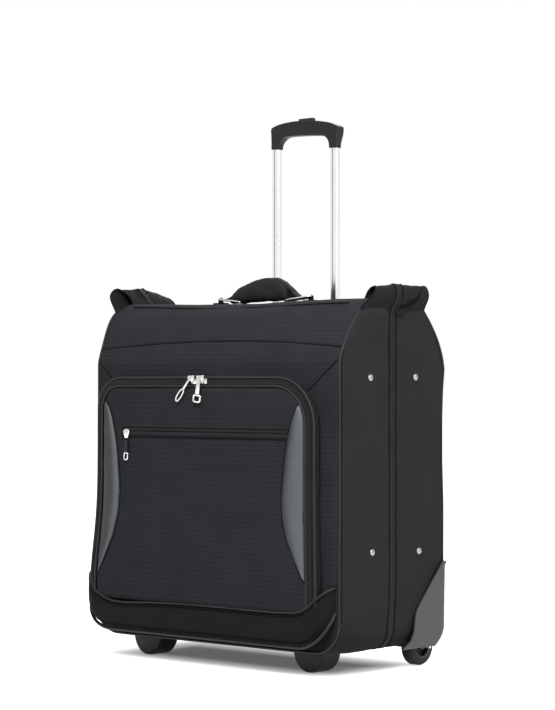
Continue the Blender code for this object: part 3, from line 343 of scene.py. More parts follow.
def cloth_side(line, share, distance):
    """The x at a share (-1 to 1) of the panel's width."""
    z = spot(line, distance)[0].y
    return share * (half_width(z) - 0.0029)


front_line = side_view(FRONT, 1, FRONT_RUN, FRONT_RISE, FRONT_ROUND, FOLD_FRONT)
FRONT_LENGTH = front_line[1][-1]


def seam_distance(x):
    return reach(front_line, SEAM_Z - SEAM_ARCH * (x / HALF) ** 2)


def front_face(x, distance, tuck=0.0):
    return settle(*panel_point(front_line, 1, x, distance, tuck))


def field_swell(share, distance):
    """How far the lower field stands out between its seams."""
    return 0.009 * (1 - share ** 6) * math.sin(math.pi * min(1.0, distance / seam_distance(share * HALF)))


def lower_field(s, t):
    share = edgeward(s)
    rest = 1 - t
    seam = seam_distance(share * HALF)
    distance = seam * (1 - rest * (0.25 + 0.75 * rest))
    x = cloth_side(front_line, share, distance)
    tuck = rolled(seam - distance, 0.005, 0.0022) - field_swell(share, distance)
    return front_face(x, distance, tuck), (x, distance)


def yoke(s, t):
    share = edgeward(s)
    seam = seam_distance(share * HALF)
    distance = seam + (FRONT_LENGTH - seam) * t * (0.25 + 0.75 * t)
    x = cloth_side(front_line, share, distance)
    climb = min(1.0, (distance - seam) / (FRONT_LENGTH - seam))
    swell = 0.003 * (1 - share ** 2) * math.sin(math.pi * climb)
    return front_face(x, distance, rolled(distance - seam, 0.005, 0.0022) - swell), (x, distance)


def new_finish(name, colour, rough, metallic=0.0, specular=0.5):
    material = bpy.data.materials.new(name)
    material.use_nodes = True
    shader = material.node_tree.nodes["Principled BSDF"]
    shader.inputs["Base Color"].default_value = (*colour, 1.0)
    shader.inputs["Roughness"].default_value = rough
    shader.inputs["Metallic"].default_value = metallic
    shader.inputs["Specular IOR Level"].default_value = specular
    return material, shader


def speckle(material, place, scale, detail):
    """Soft noise over a piece."""
    return node(material, "ShaderNodeTexNoise",
                {"Vector": place, "Scale": scale, "Detail": detail}).outputs["Fac"]


def surface(material, shader, colour, share, gloss, strength, depth, height):
    """Feeds a shader its colour, a roughness between two by a share, and a bump."""
    rough = node(material, "ShaderNodeMapRange", {"Value": share, "To Min": gloss[0], "To Max": gloss[1]})
    bump = node(material, "ShaderNodeBump", {"Strength": strength, "Distance": depth, "Height": height})
    for name, made in (("Base Color", colour), ("Roughness", rough.outputs[0]), ("Normal", bump.outputs[0])):
        material.node_tree.links.new(made, shader.inputs[name])
    return material


def tint(material, share, dark, light):
    """A colour between two, by a share."""
    return node(material, "ShaderNodeMixRGB",
                {"Fac": share, "Color1": (*dark, 1), "Color2": (*light, 1)}).outputs[0]


def sum_of(material, a, weight, b):
    """a times a weight, plus b."""
    return node(material, "ShaderNodeMath", {0: a, 1: weight, 2: b}, operation="MULTIPLY_ADD").outputs[0]


def woven(name, dark, light, rib, thread, lift, rough=0.8, specular=0.08, by="UV", cross=0.35, broad=0.0):
    """Cloth with ribs at one pitch up the cloth, crossed by threads at another; uneven in colour and
    gloss."""
    material, shader = new_finish(name, dark, rough, specular=specular)
    texture = node(material, "ShaderNodeTexCoord")
    bands = {"Vector": texture.outputs[by], "Distortion": 0.5, "Detail": 2.0, "Detail Scale": 1.5}
    ribs = node(material, "ShaderNodeTexWave", {**bands, "Scale": math.pi / 10 / rib}, bands_direction="Y")
    threads = node(material, "ShaderNodeTexWave", {**bands, "Scale": math.pi / 10 / thread},
                   bands_direction="X")
    weave = sum_of(material, threads.outputs["Fac"], cross, ribs.outputs["Fac"])
    cloud = speckle(material, texture.outputs["Object"], 14.0, 5.0)
    shade = sum_of(material, cloud, 0.7, sum_of(material, weave, 0.42, -0.25))
    if broad:
        wide = node(material, "ShaderNodeTexWave", {**bands, "Scale": math.pi / 10 / broad},
                    bands_direction="Y")
        shade = sum_of(material, wide.outputs["Fac"], 0.16, shade)
    return surface(material, shader, tint(material, shade, dark, light), cloud, (rough - 0.1, rough + 0.1),
                   0.7, lift, weave)


RIBBED = woven("ribbed_nylon", (0.0125, 0.0132, 0.0150), (0.034, 0.0355, 0.040), 0.0026, 0.0011, 0.0003,
               broad=0.0086)
LINING = woven("grey_lining", (0.050, 0.052, 0.058), (0.085, 0.088, 0.096), 0.0007, 0.0007, 0.0001,
               rough=0.6, specular=0.25)

front_field = rumple(lay_cloth("front_field", 72, 84, lower_field), 0.0012, 0.07)
front_yoke = rumple(lay_cloth("front_yoke", 72, 34, yoke), 0.0012, 0.07)
for panel in (front_field, front_yoke):
    thicken(panel, CLOTH_WALL, lined=True)
dress(front_field, "front_half", "black_cloth", RIBBED, LINING, stands_for=("front_shell",))
dress(front_yoke, "front_half", "black_cloth", RIBBED, LINING)


def run_cord(name, points, radius, closed=False):
    """A round cord along a line of points."""
    bpy.ops.object.select_all(action="DESELECT")
    bpy.ops.curve.primitive_nurbs_path_add()
    cord = bpy.context.object
    curve = cord.data
    curve.splines.clear()
    line = curve.splines.new("POLY")
    line.points.add(len(points) - 1)
    for point, at in zip(line.points, points):
        point.co = (*at, 1.0)
    line.use_cyclic_u = closed
    curve.bevel_depth = radius
    curve.bevel_resolution = 2
    curve.use_fill_caps = True
    bpy.ops.object.convert(target="MESH")
    cord = bpy.context.object
    cord.name = cord.data.name = name
    return edit(cord, (bpy.ops.mesh.remove_doubles, {"threshold": 1e-5}),
                (bpy.ops.mesh.normals_make_consistent, {}))


THREAD = woven("seam_thread", (0.0045, 0.0045, 0.0050), (0.012, 0.012, 0.013), 0.0010, 0.0010, 0.0001,
               by="Object")
SEAMS = {"arch_seam": [(x, seam_distance(x), 0.0013) for x in [0.2805 * (k / 40 - 1) for k in range(81)]],
         "crest_seam": [(x, reach(front_line, 0.6135), -0.0022)
                        for x in [0.245 * (k / 30 - 1) for k in range(61)]]}
for side, label in SIDES:
    SEAMS[f"corner_seam_{label}"] = []
    for k in range(17):
        x, distance = 0.280 - 0.067 * k / 16, reach(front_line, 0.524 - 0.057 * k / 16)
        SEAMS[f"corner_seam_{label}"].append((side * x, distance, -0.0002 - field_swell(x / HALF, distance)))
for name, seam in SEAMS.items():
    thread = run_cord(name, [front_face(*at) for at in seam], 0.0012)
    dress(thread, "front_half", "black_piping", THREAD)


# Gusset of the front half: one strip of plainer nylon down one side, under the bottom and up the other, from
# the front seam to the main zip. It is stiffened by the hoop inside, which the side rivets hold.
SIDE_TOP = 0.606
ZIP_CORNER = 0.032
ZIP_LEAN, ZIP_LEAN_TOP = 0.007, 0.150
ZIP_BORDER, ZIP_SHIFT = 0.0086, -0.0012


def rim_line(top, radius, out=0.0):
    """Left side, bottom and right side of the bag as (x, z), pushed out by a distance."""
    right, low = HALF - radius, BOTTOM + radius
    turn = [(right + (radius + out) * math.cos(a), low - (radius + out) * math.sin(a))
            for a in quarter(12)]
    half = [(HALF + out, top)] + turn
    return measured([(-x, z) for x, z in half] + half[::-1])


def zip_y(z):
    """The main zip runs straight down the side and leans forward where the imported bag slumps."""
    return SPLIT + ZIP_SHIFT - ZIP_LEAN * ease((ZIP_LEAN_TOP - z) / (ZIP_LEAN_TOP - BOTTOM))


def edge_y(line, z):
    """Where a half's panel stands at a height."""
    return spot(line, reach(line, z))[0].x


seam_rim, zip_rim = rim_line(SIDE_TOP, CORNER), rim_line(SIDE_TOP, ZIP_CORNER)
RIM_LENGTH = seam_rim[1][-1]


def spread(t, fine=0.5):
    """Puts more rows near both ends."""
    return (1 - fine) * t + fine * (0.5 - 0.5 * math.cos(math.pi * t))


def strip_point(s, t, seam_line, inward, near, far, swell):
    """A point of a gusset strip from y near(z) to y far(z), swelling out between its two seams. The bottom
    corners are rounder at the panels than at the zip."""
    share = spread(s, 0.7)
    by_zip = share if inward > 0 else 1 - share
    (x, z), way = spot(seam_rim, RIM_LENGTH * t)
    zip_spot, zip_way = spot(zip_rim, zip_rim[1][-1] * t)
    x, z = x + (zip_spot.x - x) * ease(by_zip), z + (zip_spot.y - z) * ease(by_zip)
    tx, tz = (way + (zip_way - way) * ease(by_zip)).normalized()
    y = near(z) + (far(z) - near(z)) * share
    out = swell * math.sin(math.pi * share) ** 0.7
    narrow = max(0.0, EDGE - inward * (y - seam_line(z)))
    out -= EDGE - math.sqrt(max(0.0, EDGE ** 2 - min(narrow, EDGE) ** 2))
    return x + tz * out, y, z - tx * out


def front_strip(s, t):
    def seam(z):
        return edge_y(front_line, max(z, BOTTOM + EDGE))
    x, y, z = strip_point(s, t, seam, 1, lambda z: seam(z) + 0.0029, lambda z: zip_y(z) - ZIP_BORDER, 0.0035)
    return settle(x, y, z), (y, RIM_LENGTH * t)


PLAIN = woven("plain_nylon", (0.0150, 0.0150, 0.0162), (0.034, 0.034, 0.037), 0.0012, 0.0012, 0.00025,
              cross=0.9)
front_gusset = rumple(lay_cloth("front_gusset", 22, 150, front_strip), 0.0014, 0.06, 3.0)
thicken(front_gusset, CLOTH_WALL, lined=True)
dress(front_gusset, "front_half", "black_cloth", PLAIN, LINING)


# Rear half: a plain back panel that carries the trolley handle, and its own gusset strip from the main zip
# to the back seam. Slots let the tubes through the shoulder, and the low corners are cut away for the wheel
# guards.
REAR_RUN, REAR_RISE, REAR_ROUND = 0.074, 0.119, 1.28
FOLD_REAR = 0.0225
rear_line = side_view(BACK, -1, REAR_RUN, REAR_RISE, REAR_ROUND, FOLD_REAR)
REAR_LENGTH = rear_line[1][-1]
guard_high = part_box("guard_right")[1]
tube_low, tube_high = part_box("tube_right")
WELL_TOP, WELL_FRONT, WELL_INNER = 0.0734, 0.0793, 0.2382
TUBE_FRONT, TUBE_BACK = tube_low.y + 0.0010, tube_high.y + 0.0028


def bulge(x, y, z):
    """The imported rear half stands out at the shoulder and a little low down, beside the trolley handle."""
    out = 0.0018 + 0.0118 * math.exp(-((z - 0.556) / 0.066) ** 2) + 0.0033 * ease((0.36 - z) / 0.10)
    back = max(0.0, (y - SPLIT) / (BACK - SPLIT))
    return Vector((x, y + out * back * ease((abs(x) - 0.09) / 0.14), z - sag(x, z)))


def back_panel(s, t):
    share = -edgeward(s)
    distance = REAR_LENGTH * t
    x = cloth_side(rear_line, share, distance)
    swell = 0.003 * (1 - share ** 2) * math.sin(math.pi * t) ** 0.5
    return bulge(*panel_point(rear_line, -1, x, distance, -swell)), (x, distance)


def rear_strip(s, t):
    def seam(z):
        return edge_y(rear_line, max(z, BOTTOM + EDGE))
    x, y, z = strip_point(s, t, seam, -1, lambda z: zip_y(z) + ZIP_BORDER, lambda z: seam(z) - 0.0029, 0.003)
    return bulge(x, y, z), (y, RIM_LENGTH * t)


def cut_box(piece, low, high):
    """Cuts a sheet along the sides of a box and takes out what lies inside it."""
    only(piece)
    bpy.ops.object.mode_set(mode="EDIT")
    bpy.ops.mesh.select_mode(type="FACE")
    for axis in range(3):
        for corner in (low, high):
            bpy.ops.mesh.select_all(action="SELECT")
            bpy.ops.mesh.bisect(plane_co=corner, plane_no=[float(k == axis) for k in range(3)])
    bpy.ops.mesh.select_all(action="DESELECT")
    bpy.ops.object.mode_set(mode="OBJECT")
    for face in piece.data.polygons:
        face.select = all(low[k] < face.center[k] < high[k] for k in range(3))
    bpy.ops.object.mode_set(mode="EDIT")
    bpy.ops.mesh.delete(type="FACE")
    bpy.ops.mesh.select_mode(type="VERT")
    bpy.ops.object.mode_set(mode="OBJECT")


rear_panel = rumple(lay_cloth("rear_panel", 56, 76, back_panel), 0.001, 0.08, 5.0)
rear_gusset = rumple(lay_cloth("rear_gusset", 22, 150, rear_strip), 0.0013, 0.06, 7.0)
for side in (-1, 1):
    xs = sorted((side * (tube_low.x - 0.0006), side * (tube_high.x + 0.0006)))
    cut_box(rear_panel, (xs[0], TUBE_FRONT - 0.0006, 0.54), (xs[1], TUBE_BACK + 0.0006, 0.63))
for panel in (rear_panel, rear_gusset):
    for side in (-1, 1):
        xs = sorted((side * WELL_INNER, side * 0.30))
        cut_box(panel, (xs[0], WELL_FRONT, 0.0), (xs[1], 0.2, WELL_TOP))
    thicken(panel, CLOTH_WALL, lined=True)
dress(rear_panel, "rear_half", "black_cloth", PLAIN, LINING, stands_for=("rear_shell",))
dress(rear_gusset, "rear_half", "black_cloth", PLAIN, LINING)


# Fold: a soft strip of the plain nylon along the top, sewn to both halves, that the bag folds open about.
FOLD_HALF = HALF - 0.014


def fold_cloth(s, t):
    x = (2 * s - 1) * FOLD_HALF
    y = FOLD_FRONT - 0.006 + (FOLD_REAR + 0.010 - FOLD_FRONT + 0.006) * t
    dip = 0.0016 * math.sin(math.pi * t) - 0.0006
    return Vector((x, y, TOP - dip - sag(x, TOP))), (x, y)


fold = rumple(lay_cloth("fold_cloth", 60, 16, fold_cloth), 0.0008, 0.03, 2.0)
thicken(fold, 0.0016, lined=True)
dress(fold, "rear_half", "black_cloth", PLAIN, LINING, stands_for=("fold_strip",))
fold.parent = None
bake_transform(fold)


# Ears: loose gussets of the plain nylon over both ends of the fold, one on each half. They are open at their
# front and rear ends, stand up past the sides, and crumple where the main zip climbs over them.
EARS = {
    "right": (((0.2815, -0.0643, 0.6075), (0.2850, -0.0390, 0.6290), (0.2790, -0.0260, 0.6420),
               (0.2630, -0.0225, 0.6372), (0.2590, -0.0290, 0.6215)),
              ((0.2818, -0.0400, 0.6045), (0.2885, -0.0300, 0.6260), (0.2790, -0.0120, 0.6440),
               (0.2620, -0.0100, 0.6360), (0.2560, -0.0120, 0.6218)),
              ((0.2825, 0.0178, 0.6030), (0.2905, 0.0230, 0.6270), (0.2820, 0.0290, 0.6470),
               (0.2600, 0.0290, 0.6370), (0.2530, 0.0280, 0.6220)),
              ((0.2822, 0.0600, 0.6020), (0.2890, 0.0620, 0.6260), (0.2800, 0.0660, 0.6460),
               (0.2610, 0.0660, 0.6370), (0.2540, 0.0640, 0.6220)),
              ((0.2805, 0.1050, 0.6085), (0.2905, 0.1040, 0.6300), (0.2830, 0.1020, 0.6460),
               (0.2650, 0.0960, 0.6370), (0.2590, 0.0920, 0.6215))),
    "left": (((-0.2850, -0.0705, 0.6110), (-0.3075, -0.0615, 0.6390), (-0.3000, -0.0520, 0.6530),
              (-0.2780, -0.0440, 0.6405), (-0.2680, -0.0430, 0.6253)),
             ((-0.2825, -0.0450, 0.6060), (-0.3000, -0.0380, 0.6310), (-0.2930, -0.0300, 0.6525),
              (-0.2700, -0.0260, 0.6380), (-0.2590, -0.0260, 0.6220)),
             ((-0.2825, 0.0150, 0.6030), (-0.2950, 0.0030, 0.6290), (-0.2880, -0.0080, 0.6540),
              (-0.2720, -0.0050, 0.6420), (-0.2600, 0.0000, 0.6220)),
             ((-0.2820, 0.0550, 0.6020), (-0.2920, 0.0450, 0.6270), (-0.2840, 0.0330, 0.6475),
              (-0.2680, 0.0340, 0.6380), (-0.2590, 0.0360, 0.6220)),
             ((-0.2805, 0.1045, 0.6080), (-0.2880, 0.0850, 0.6250), (-0.2790, 0.0600, 0.6385),
              (-0.2680, 0.0620, 0.6320), (-0.2620, 0.0640, 0.6220)))}
EAR_FOLD = ((0.033, 0.606), (0.061, 0.615), (0.075, 0.622), (0.089, 0.639))
EAR_ZIP_GAP = 0.026


def through(points, t):
    """A smooth curve through points, by a share of its run."""
    at = min(max(t, 0.0), 1.0) * (len(points) - 1)
    k = min(int(at), len(points) - 2)
    f = at - k
    a, b, c, d = (points[min(max(i, 0), len(points) - 1)] for i in (k - 1, k, k + 1, k + 2))
    return 0.5 * (2 * b + (c - a) * f + (2 * a - 5 * b + 4 * c - d) * f * f
                  + (3 * b - a - 3 * c + d) * f ** 3)


def ear_rows(label):
    """Each row of an ear, with its two edges carried down inside the seams."""
    rows = []
    for row in EARS[label]:
        row = [Vector(at) for at in row]
        inward = Vector((math.copysign(0.0015, -row[0].x), 0, -0.008))
        rows.append([row[0] + inward] + row + [row[-1] + Vector((0, 0, -0.006))])
    return rows


def ear_point(rows, s, t):
    return through([through(row, t) for row in rows], s)


def fold_depth(y, z):
    """How far the sharp fold across the right ear is pressed in, with a soft roll below it."""
    away, share = 1.0, 0.0
    for k in range(len(EAR_FOLD) - 1):
        a, b = Vector(EAR_FOLD[k]), Vector(EAR_FOLD[k + 1])
        f = min(1.0, max(0.0, (Vector((y, z)) - a).dot(b - a) / (b - a).length_squared))
        gap = (a + (b - a) * f - Vector((y, z))).length
        if gap < away:
            away, share = gap, (k + f) / (len(EAR_FOLD) - 1)
    crease = (0.010 - 0.005 * share) * math.exp(-(away / 0.0040) ** 2)
    return crease - 0.003 * math.exp(-((away - 0.010) / 0.005) ** 2)


def ear_maker(label, front):
    rows = ear_rows(label)
    sign = 1 if label == "right" else -1

    def place(s, t):
        along = t if sign > 0 else 1 - t
        far = s * (0.5 - EAR_ZIP_GAP) if front else 0.5 + EAR_ZIP_GAP + s * (0.5 - EAR_ZIP_GAP)
        at = ear_point(rows, far, along)
        slack = 0.0020 * math.sin(2 * math.pi * far) ** 2 * math.sin(9 * along + 5 * far)
        at.x += sign * slack
        if label == "right" and not front and along < 0.6:
            at.x -= fold_depth(at.y, at.z) * ease((0.6 - along) / 0.15)
        return at, (far * 0.17, along * 0.08)
    return place


# A darker copy of the plain nylon, as painted shade on the ears and the pocket wall.
PLAIN_SHADED = woven("plain_nylon_painted_shade", (0.0080, 0.0081, 0.0090), (0.0225, 0.0227, 0.025), 0.0012, 0.0012, 0.00025,
              cross=0.9)
# A near-black copy for the ears' inner face: painted shade inside their openings.
EAR_INSIDE_SHADE = woven("ear_lining_painted_shade", (0.0016, 0.0016, 0.0018), (0.0042, 0.0042, 0.0047), 0.0012, 0.0012, 0.0001,
             cross=0.9)
for label in ("left", "right"):
    for front, half in ((True, "front"), (False, "rear")):
        ear = rumple(lay_cloth(f"ear_{half}_{label}_cloth", 36, 48, ear_maker(label, front)), 0.0013, 0.018,
                     len(label))
        thicken(ear, 0.0016, lined=True)
        # The ears' darker nylon and near-black inner face are painted shade.
        dress(ear, f"{half}_half", "black_cloth", PLAIN_SHADED, EAR_INSIDE_SHADE, stands_for=(f"ear_{half}_{label}",))
        rim_row = [ear_point(ear_rows(label), 0.0 if front else 1.0, 0.10 + 0.80 * k / 40)
                   for k in range(41)]
        hem = run_cord(f"ear_{half}_{label}_hem", rim_row, 0.0012)
        dress(hem, f"{half}_half", "black_piping", THREAD)


# Piping: a cord wrapped in smooth black cloth, sewn into the front seam all round and into the back seam
# above the wheel guards.
PIPING_R, PIPING_IN, PIPING_STEP = 0.0022, 0.0018, 0.006


def edge_run(line, inward, sign, low_z, inset=PIPING_IN, out=0.0):
    """Points up one side seam of a half, from a height to the ear."""
    points = []
    start, end = reach(line, low_z), reach(line, SIDE_TOP + 0.004)
    count = max(2, int((end - start) / PIPING_STEP))
    for k in range(count + 1):
        distance = start + (end - start) * k / count
        (y, z), (ty, tz) = spot(line, distance)
        points.append((sign * (half_width(z) - PIPING_IN + out), y + inward * tz * inset,
                       z - inward * ty * inset))
    return points


right_edge = edge_run(front_line, 1, 1, BOTTOM + CORNER)
round_turn = [(HALF - CORNER + (CORNER - PIPING_IN) * math.sin(a), FRONT + PIPING_IN,
               BOTTOM + CORNER - (CORNER - PIPING_IN) * math.cos(a)) for a in quarter(14)]
right_half = round_turn[:-1] + right_edge
front_route = [(-x, y, z) for x, y, z in reversed(right_half)]
front_route += [((HALF - CORNER) * (k / 8 - 1), FRONT + PIPING_IN, BOTTOM + PIPING_IN)
                for k in range(1, 16)] + right_half

PIPED = woven("piping_cloth", (0.009, 0.009, 0.010), (0.024, 0.024, 0.026), 0.0008, 0.0008, 0.0001,
              rough=0.5, specular=0.22, by="Object", cross=0.9)
front_cord = run_cord("front_piping_cord", [settle(*p) for p in front_route], PIPING_R)
dress(front_cord, "front_half", "black_piping", PIPED, stands_for=("front_piping",))
for side, label in SIDES:
    # A thin black cord just behind each front piping is painted shadow: the dark line beside the piping.
    shadow_cord = run_cord(f"front_piping_painted_shadow_{label}",
                      [settle(*p) for p in edge_run(front_line, 1, side, BOTTOM + CORNER, 0.0056, 0.0012)],
                      0.0011)
    dress(shadow_cord, "front_half", "black_piping", THREAD)
    seam = [bulge(*p) for p in edge_run(rear_line, -1, side, guard_high.z - 0.004)]
    rear_cord = run_cord(f"rear_piping_cord_{label}", seam, PIPING_R)
    dress(rear_cord, "rear_half", "black_piping", PIPED, stands_for=(f"rear_piping_{label}",))


# Main zip: two woven tapes with a moulded coil along their meeting edges. It runs from the top of one ear
# down the side, under the bottom and up over the other ear, between the folded edges of the two gussets.
TAPE_HALF, TAPE_SHEET = 0.0112, 0.0010
TOOTH_PITCH, TOOTH_REACH, TOOTH_LIFT = 0.0024, 0.0066, 0.0009
BORDER_R = 0.0011


def ear_crossing(label):
    """The zip's way over an ear, from its outer foot to its inner one."""
    rows = ear_rows(label)
    return [ear_point(rows, 0.5, 0.16 + 0.68 * k / 30) for k in range(31)]


def zip_side():
    """The zip's way down the left side, under the bottom and up the right side."""
    line = rim_line(0.598, ZIP_CORNER, 0.0006)
    points = [spot(line, line[1][-1] * k / 260)[0] for k in range(261)]
    return [Vector((x, zip_y(z), z)) for x, z in points]


main_zip = measured(ear_crossing("left")[::-1] + zip_side() + ear_crossing("right"))
MAIN_LENGTH = main_zip[1][-1]


def zip_frame(distance):
    """A spot on the main zip, and the way along, across and out of it there."""
    at, along = spot(main_zip, distance)
    across = (Vector((0, 1, 0)) - along * along.y).normalized()
    return at, along, across, across.cross(along)


def tape_maker(sign):
    def place(s, t):
        at, _, across, out = zip_frame(MAIN_LENGTH * t)
        far = s if sign > 0 else 1 - s
        point = at + across * sign * (0.0002 + TAPE_HALF * far) - out * 0.0012 * far ** 3
        return point, (far * TAPE_HALF, MAIN_LENGTH * t)
    return place


def teeth(name, frames, reach_out, width, lift):
    """Zip teeth: one is shaped from a block, then set at each frame (spot, and the way along, across and
    out)."""
    bpy.ops.object.select_all(action="DESELECT")
    bpy.ops.mesh.primitive_cube_add(size=1, location=(0, 0.5, 0.5))
    tooth = bpy.context.object
    bpy.ops.object.transform_apply(location=True, rotation=False, scale=False)
    press(tooth, "BEVEL", width=0.2, segments=1, limit_method="NONE")
    corners = [vertex.co.copy() for vertex in tooth.data.vertices]
    sides = [tuple(face.vertices) for face in tooth.data.polygons]
    bpy.data.objects.remove(tooth, do_unlink=True)
    points, faces = [], []
    for at, along, across, out in frames:
        base = len(points)
        points += [at + along * (c.x * width) + across * (c.y * reach_out) + out * (c.z * lift)
                   for c in corners]
        faces += [tuple(base + k for k in side) for side in sides]
    mesh = bpy.data.meshes.new(name)
    mesh.from_pydata(points, [], faces)
    piece = bpy.data.objects.new(name, mesh)
    scene.collection.objects.link(piece)
    return edit(piece, (bpy.ops.mesh.normals_make_consistent, {"inside": False}))


def grained(name, colour, rough, grain, depth, specular=0.5, metallic=0.0, spots=0.25, stretch=(1, 1, 1)):
    """Moulded or drawn stuff: a fine grain in its face, and a gloss that is not even."""
    material, shader = new_finish(name, colour, rough, metallic, specular)
    texture = node(material, "ShaderNodeTexCoord")
    laid = node(material, "ShaderNodeMapping", {"Vector": texture.outputs["Object"], "Scale": stretch})
    fine = speckle(material, laid.outputs[0], 1 / grain, 3.0)
    wide = speckle(material, texture.outputs["Object"], 22.0, 4.0)
    dark = tuple(c * (1 - spots) for c in colour)
    light = tuple(min(1.0, c * (1 + spots)) for c in colour)
    return surface(material, shader, tint(material, wide, dark, light), wide, (rough * 0.8, rough * 1.2),
                   0.5, depth, fine)


TAPE = woven("zip_tape_cloth", (0.0085, 0.0085, 0.0090), (0.022, 0.022, 0.023), 0.0009, 0.0014, 0.0002,
             rough=0.7)
COIL = grained("zip_coil_nylon", (0.0235, 0.0252, 0.0220), 0.55, 0.0006, 0.00005, specular=0.12)
for half, sign in (("front", -1), ("rear", 1)):
    tape = lay_cloth(f"main_tape_{half}", 4, 460, tape_maker(sign))
    thicken(tape, TAPE_SHEET)
    dress(tape, f"{half}_half", "zip_tape", TAPE, stands_for=(f"{half}_zip_tape",))
    frames = []
    for k in range(int(MAIN_LENGTH / TOOTH_PITCH) - 1):
        at, along, across, out = zip_frame(TOOTH_PITCH * (k + 0.5 + 0.5 * (sign > 0)))
        frames.append((at + across * sign * TOOTH_REACH - out * 0.0002, along, across * -sign, out))
    coil = teeth(f"main_coil_{half}", frames, TOOTH_REACH - 0.0001, TOOTH_PITCH * 0.62, TOOTH_LIFT)
    dress(coil, f"{half}_half", "zip_tape", COIL, flat=True)
    # Black cords along the gussets' folded edges beside the zip: the edges are real, their black is painted
    # shade.
    shaded_edge = []
    for k in range(361):
        at, along, across, out = zip_frame(MAIN_LENGTH * k / 360)
        shaded_edge.append(at + across * sign * (ZIP_BORDER + 0.0004) + out * 0.0004)
    dress(run_cord(f"main_zip_edge_painted_shade_{half}", shaded_edge, BORDER_R), f"{half}_half", "black_piping", THREAD)


# Base band: a padded bumper of smoother black cloth across the foot of the front, bound by piping above and
# below. Its ends thin out and climb round the bottom corners.
band_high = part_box("base_band")[1]
BAND_HALF = band_high.x - 0.001
BAND_UPPER = ((-0.2735, 0.1500), (-0.2620, 0.1390), (-0.2520, 0.1290), (-0.2440, 0.1185), (-0.2320, 0.1105),
              (-0.2170, 0.1045), (-0.1990, 0.1005), (-0.1700, 0.0998), (-0.1090, 0.1036), (-0.0380, 0.1058),
              (0.0500, 0.1063), (0.1110, 0.1058), (0.1700, 0.1058), (0.2090, 0.1075), (0.2300, 0.1125),
              (0.2440, 0.1220), (0.2560, 0.1335), (0.2735, 0.1500))
BAND_BOTTOM, BAND_TURN, BAND_OUT, BAND_END, THIN_START = 0.0535, 0.060, 0.033, 0.0015, 0.243


def row_at(rows, place):
    """The second value of a table of pairs at a first value between its rows."""
    k = next((i for i in range(len(rows) - 2) if place <= rows[i + 1][0]), len(rows) - 2)
    (near, a), (far, b) = rows[k], rows[k + 1]
    return a + (b - a) * (place - near) / (far - near)


def band_edges(x):
    """Height of the band's lower and upper edge, and how far it stands out, across the bag."""
    past = max(0.0, abs(x) - (BAND_HALF - BAND_TURN)) / BAND_TURN
    low = BAND_BOTTOM + BAND_TURN * (1 - math.sqrt(max(0.0, 1 - min(past, 1.0) ** 2)))
    thin = max(0.0, abs(x) - THIN_START) / (BAND_HALF - THIN_START)
    out = BAND_END + (BAND_OUT - BAND_END) * math.sqrt(max(0.0, 1 - thin ** 2))
    return low, max(row_at(BAND_UPPER, x), low + 0.004), out


def band_cloth(s, t):
    x = edgeward(s) * BAND_HALF
    low, high, out = band_edges(x)
    a = math.pi * (1 - t)
    lean = bent(math.cos(a), 0.55)
    y = FRONT + 0.001 - (out + 0.002) * math.sin(a) ** 0.42
    return settle(x, y, (low + high) / 2 + (high - low) / 2 * lean), (x, t * 0.11)


SMOOTH = woven("band_cloth", (0.0050, 0.0053, 0.0062), (0.0105, 0.0110, 0.0128), 0.0009, 0.0009, 0.00015,
               rough=0.7, specular=0.08, cross=0.9)
band = rumple(lay_cloth("base_band_cloth", 80, 26, lambda s, t: band_cloth(s, 1 - t)), 0.001, 0.05, 9.0)
edit(band, (bpy.ops.mesh.flip_normals, {}))
dress(band, "front_half", "black_cloth", SMOOTH, stands_for=("base_band",))


def band_route(upper, share, rise):
    route = []
    for k in range(81):
        x = edgeward(k / 80) * BAND_HALF
        low, high, out = band_edges(x)
        route.append(settle(x, FRONT - out * share, (high if upper else low) + rise))
    return route


BAND_CORDS = (("upper", True, 0.90, -0.0004, 0.0022, PIPED),
              ("upper_stitch", True, 0.985, -0.0046, 0.0010, THREAD),
              ("upper_inner", True, 0.70, 0.0012, 0.0018, THREAD),
              ("lower", False, 0.80, -0.0030, 0.0030, PIPED),
              ("lower_dark_line", False, 0.95, 0.0018, 0.0011, THREAD))
for cord_name, upper, share, rise, radius, finish in BAND_CORDS:
    cord = run_cord(f"band_piping_{cord_name}", band_route(upper, share, rise), radius)
    dress(cord, "front_half", "black_piping", finish)


# Front pocket wall: a strip of plain nylon in the shape of a doorway that stands the pocket off the front
# panel, with a cord in the seam along its outer edge.
gusset_low, gusset_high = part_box("pocket_gusset")
outer_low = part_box("pocket_zip_outer")[0]
POCKET_HALF, POCKET_TOP, POCKET_FOOT = gusset_high.x - 0.002, gusset_high.z, gusset_low.z - 0.004
POCKET_ROUND = {-1: 0.056, 1: 0.080}
POCKET_FACE, POCKET_FLARE = outer_low.y + 0.0012, 0.020
FLAP_INSET, FLAP_SHIFT = 0.0148, -0.0036


def doorway(inset):
    """The pocket's outline as (x, z) from the left foot over the top to the right foot. Its right corner
    droops, and the flap hangs a little to the left."""
    half, top = POCKET_HALF - inset, POCKET_TOP - inset
    slip = FLAP_SHIFT * min(1.0, inset / FLAP_INSET)
    sides = {}
    for side, radius in POCKET_ROUND.items():
        radius -= inset
        sides[side] = [(side * half + slip, POCKET_FOOT)] + [
            (side * (half - radius + radius * math.cos(a)) + slip, top - radius + radius * math.sin(a))
            for a in quarter(14)]
    return measured(sides[-1] + sides[1][::-1])


door = doorway(0.0)


def on_pocket(x, y, z):
    """A point of the pocket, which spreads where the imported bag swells."""
    return settle(x * (1 + POCKET_FLARE * slump(z)), y, z)


def doorway_point(line, t, y, out=0.0):
    (x, z), (tx, tz) = spot(line, line[1][-1] * t)
    return on_pocket(x - tz * out, y, z + tx * out)


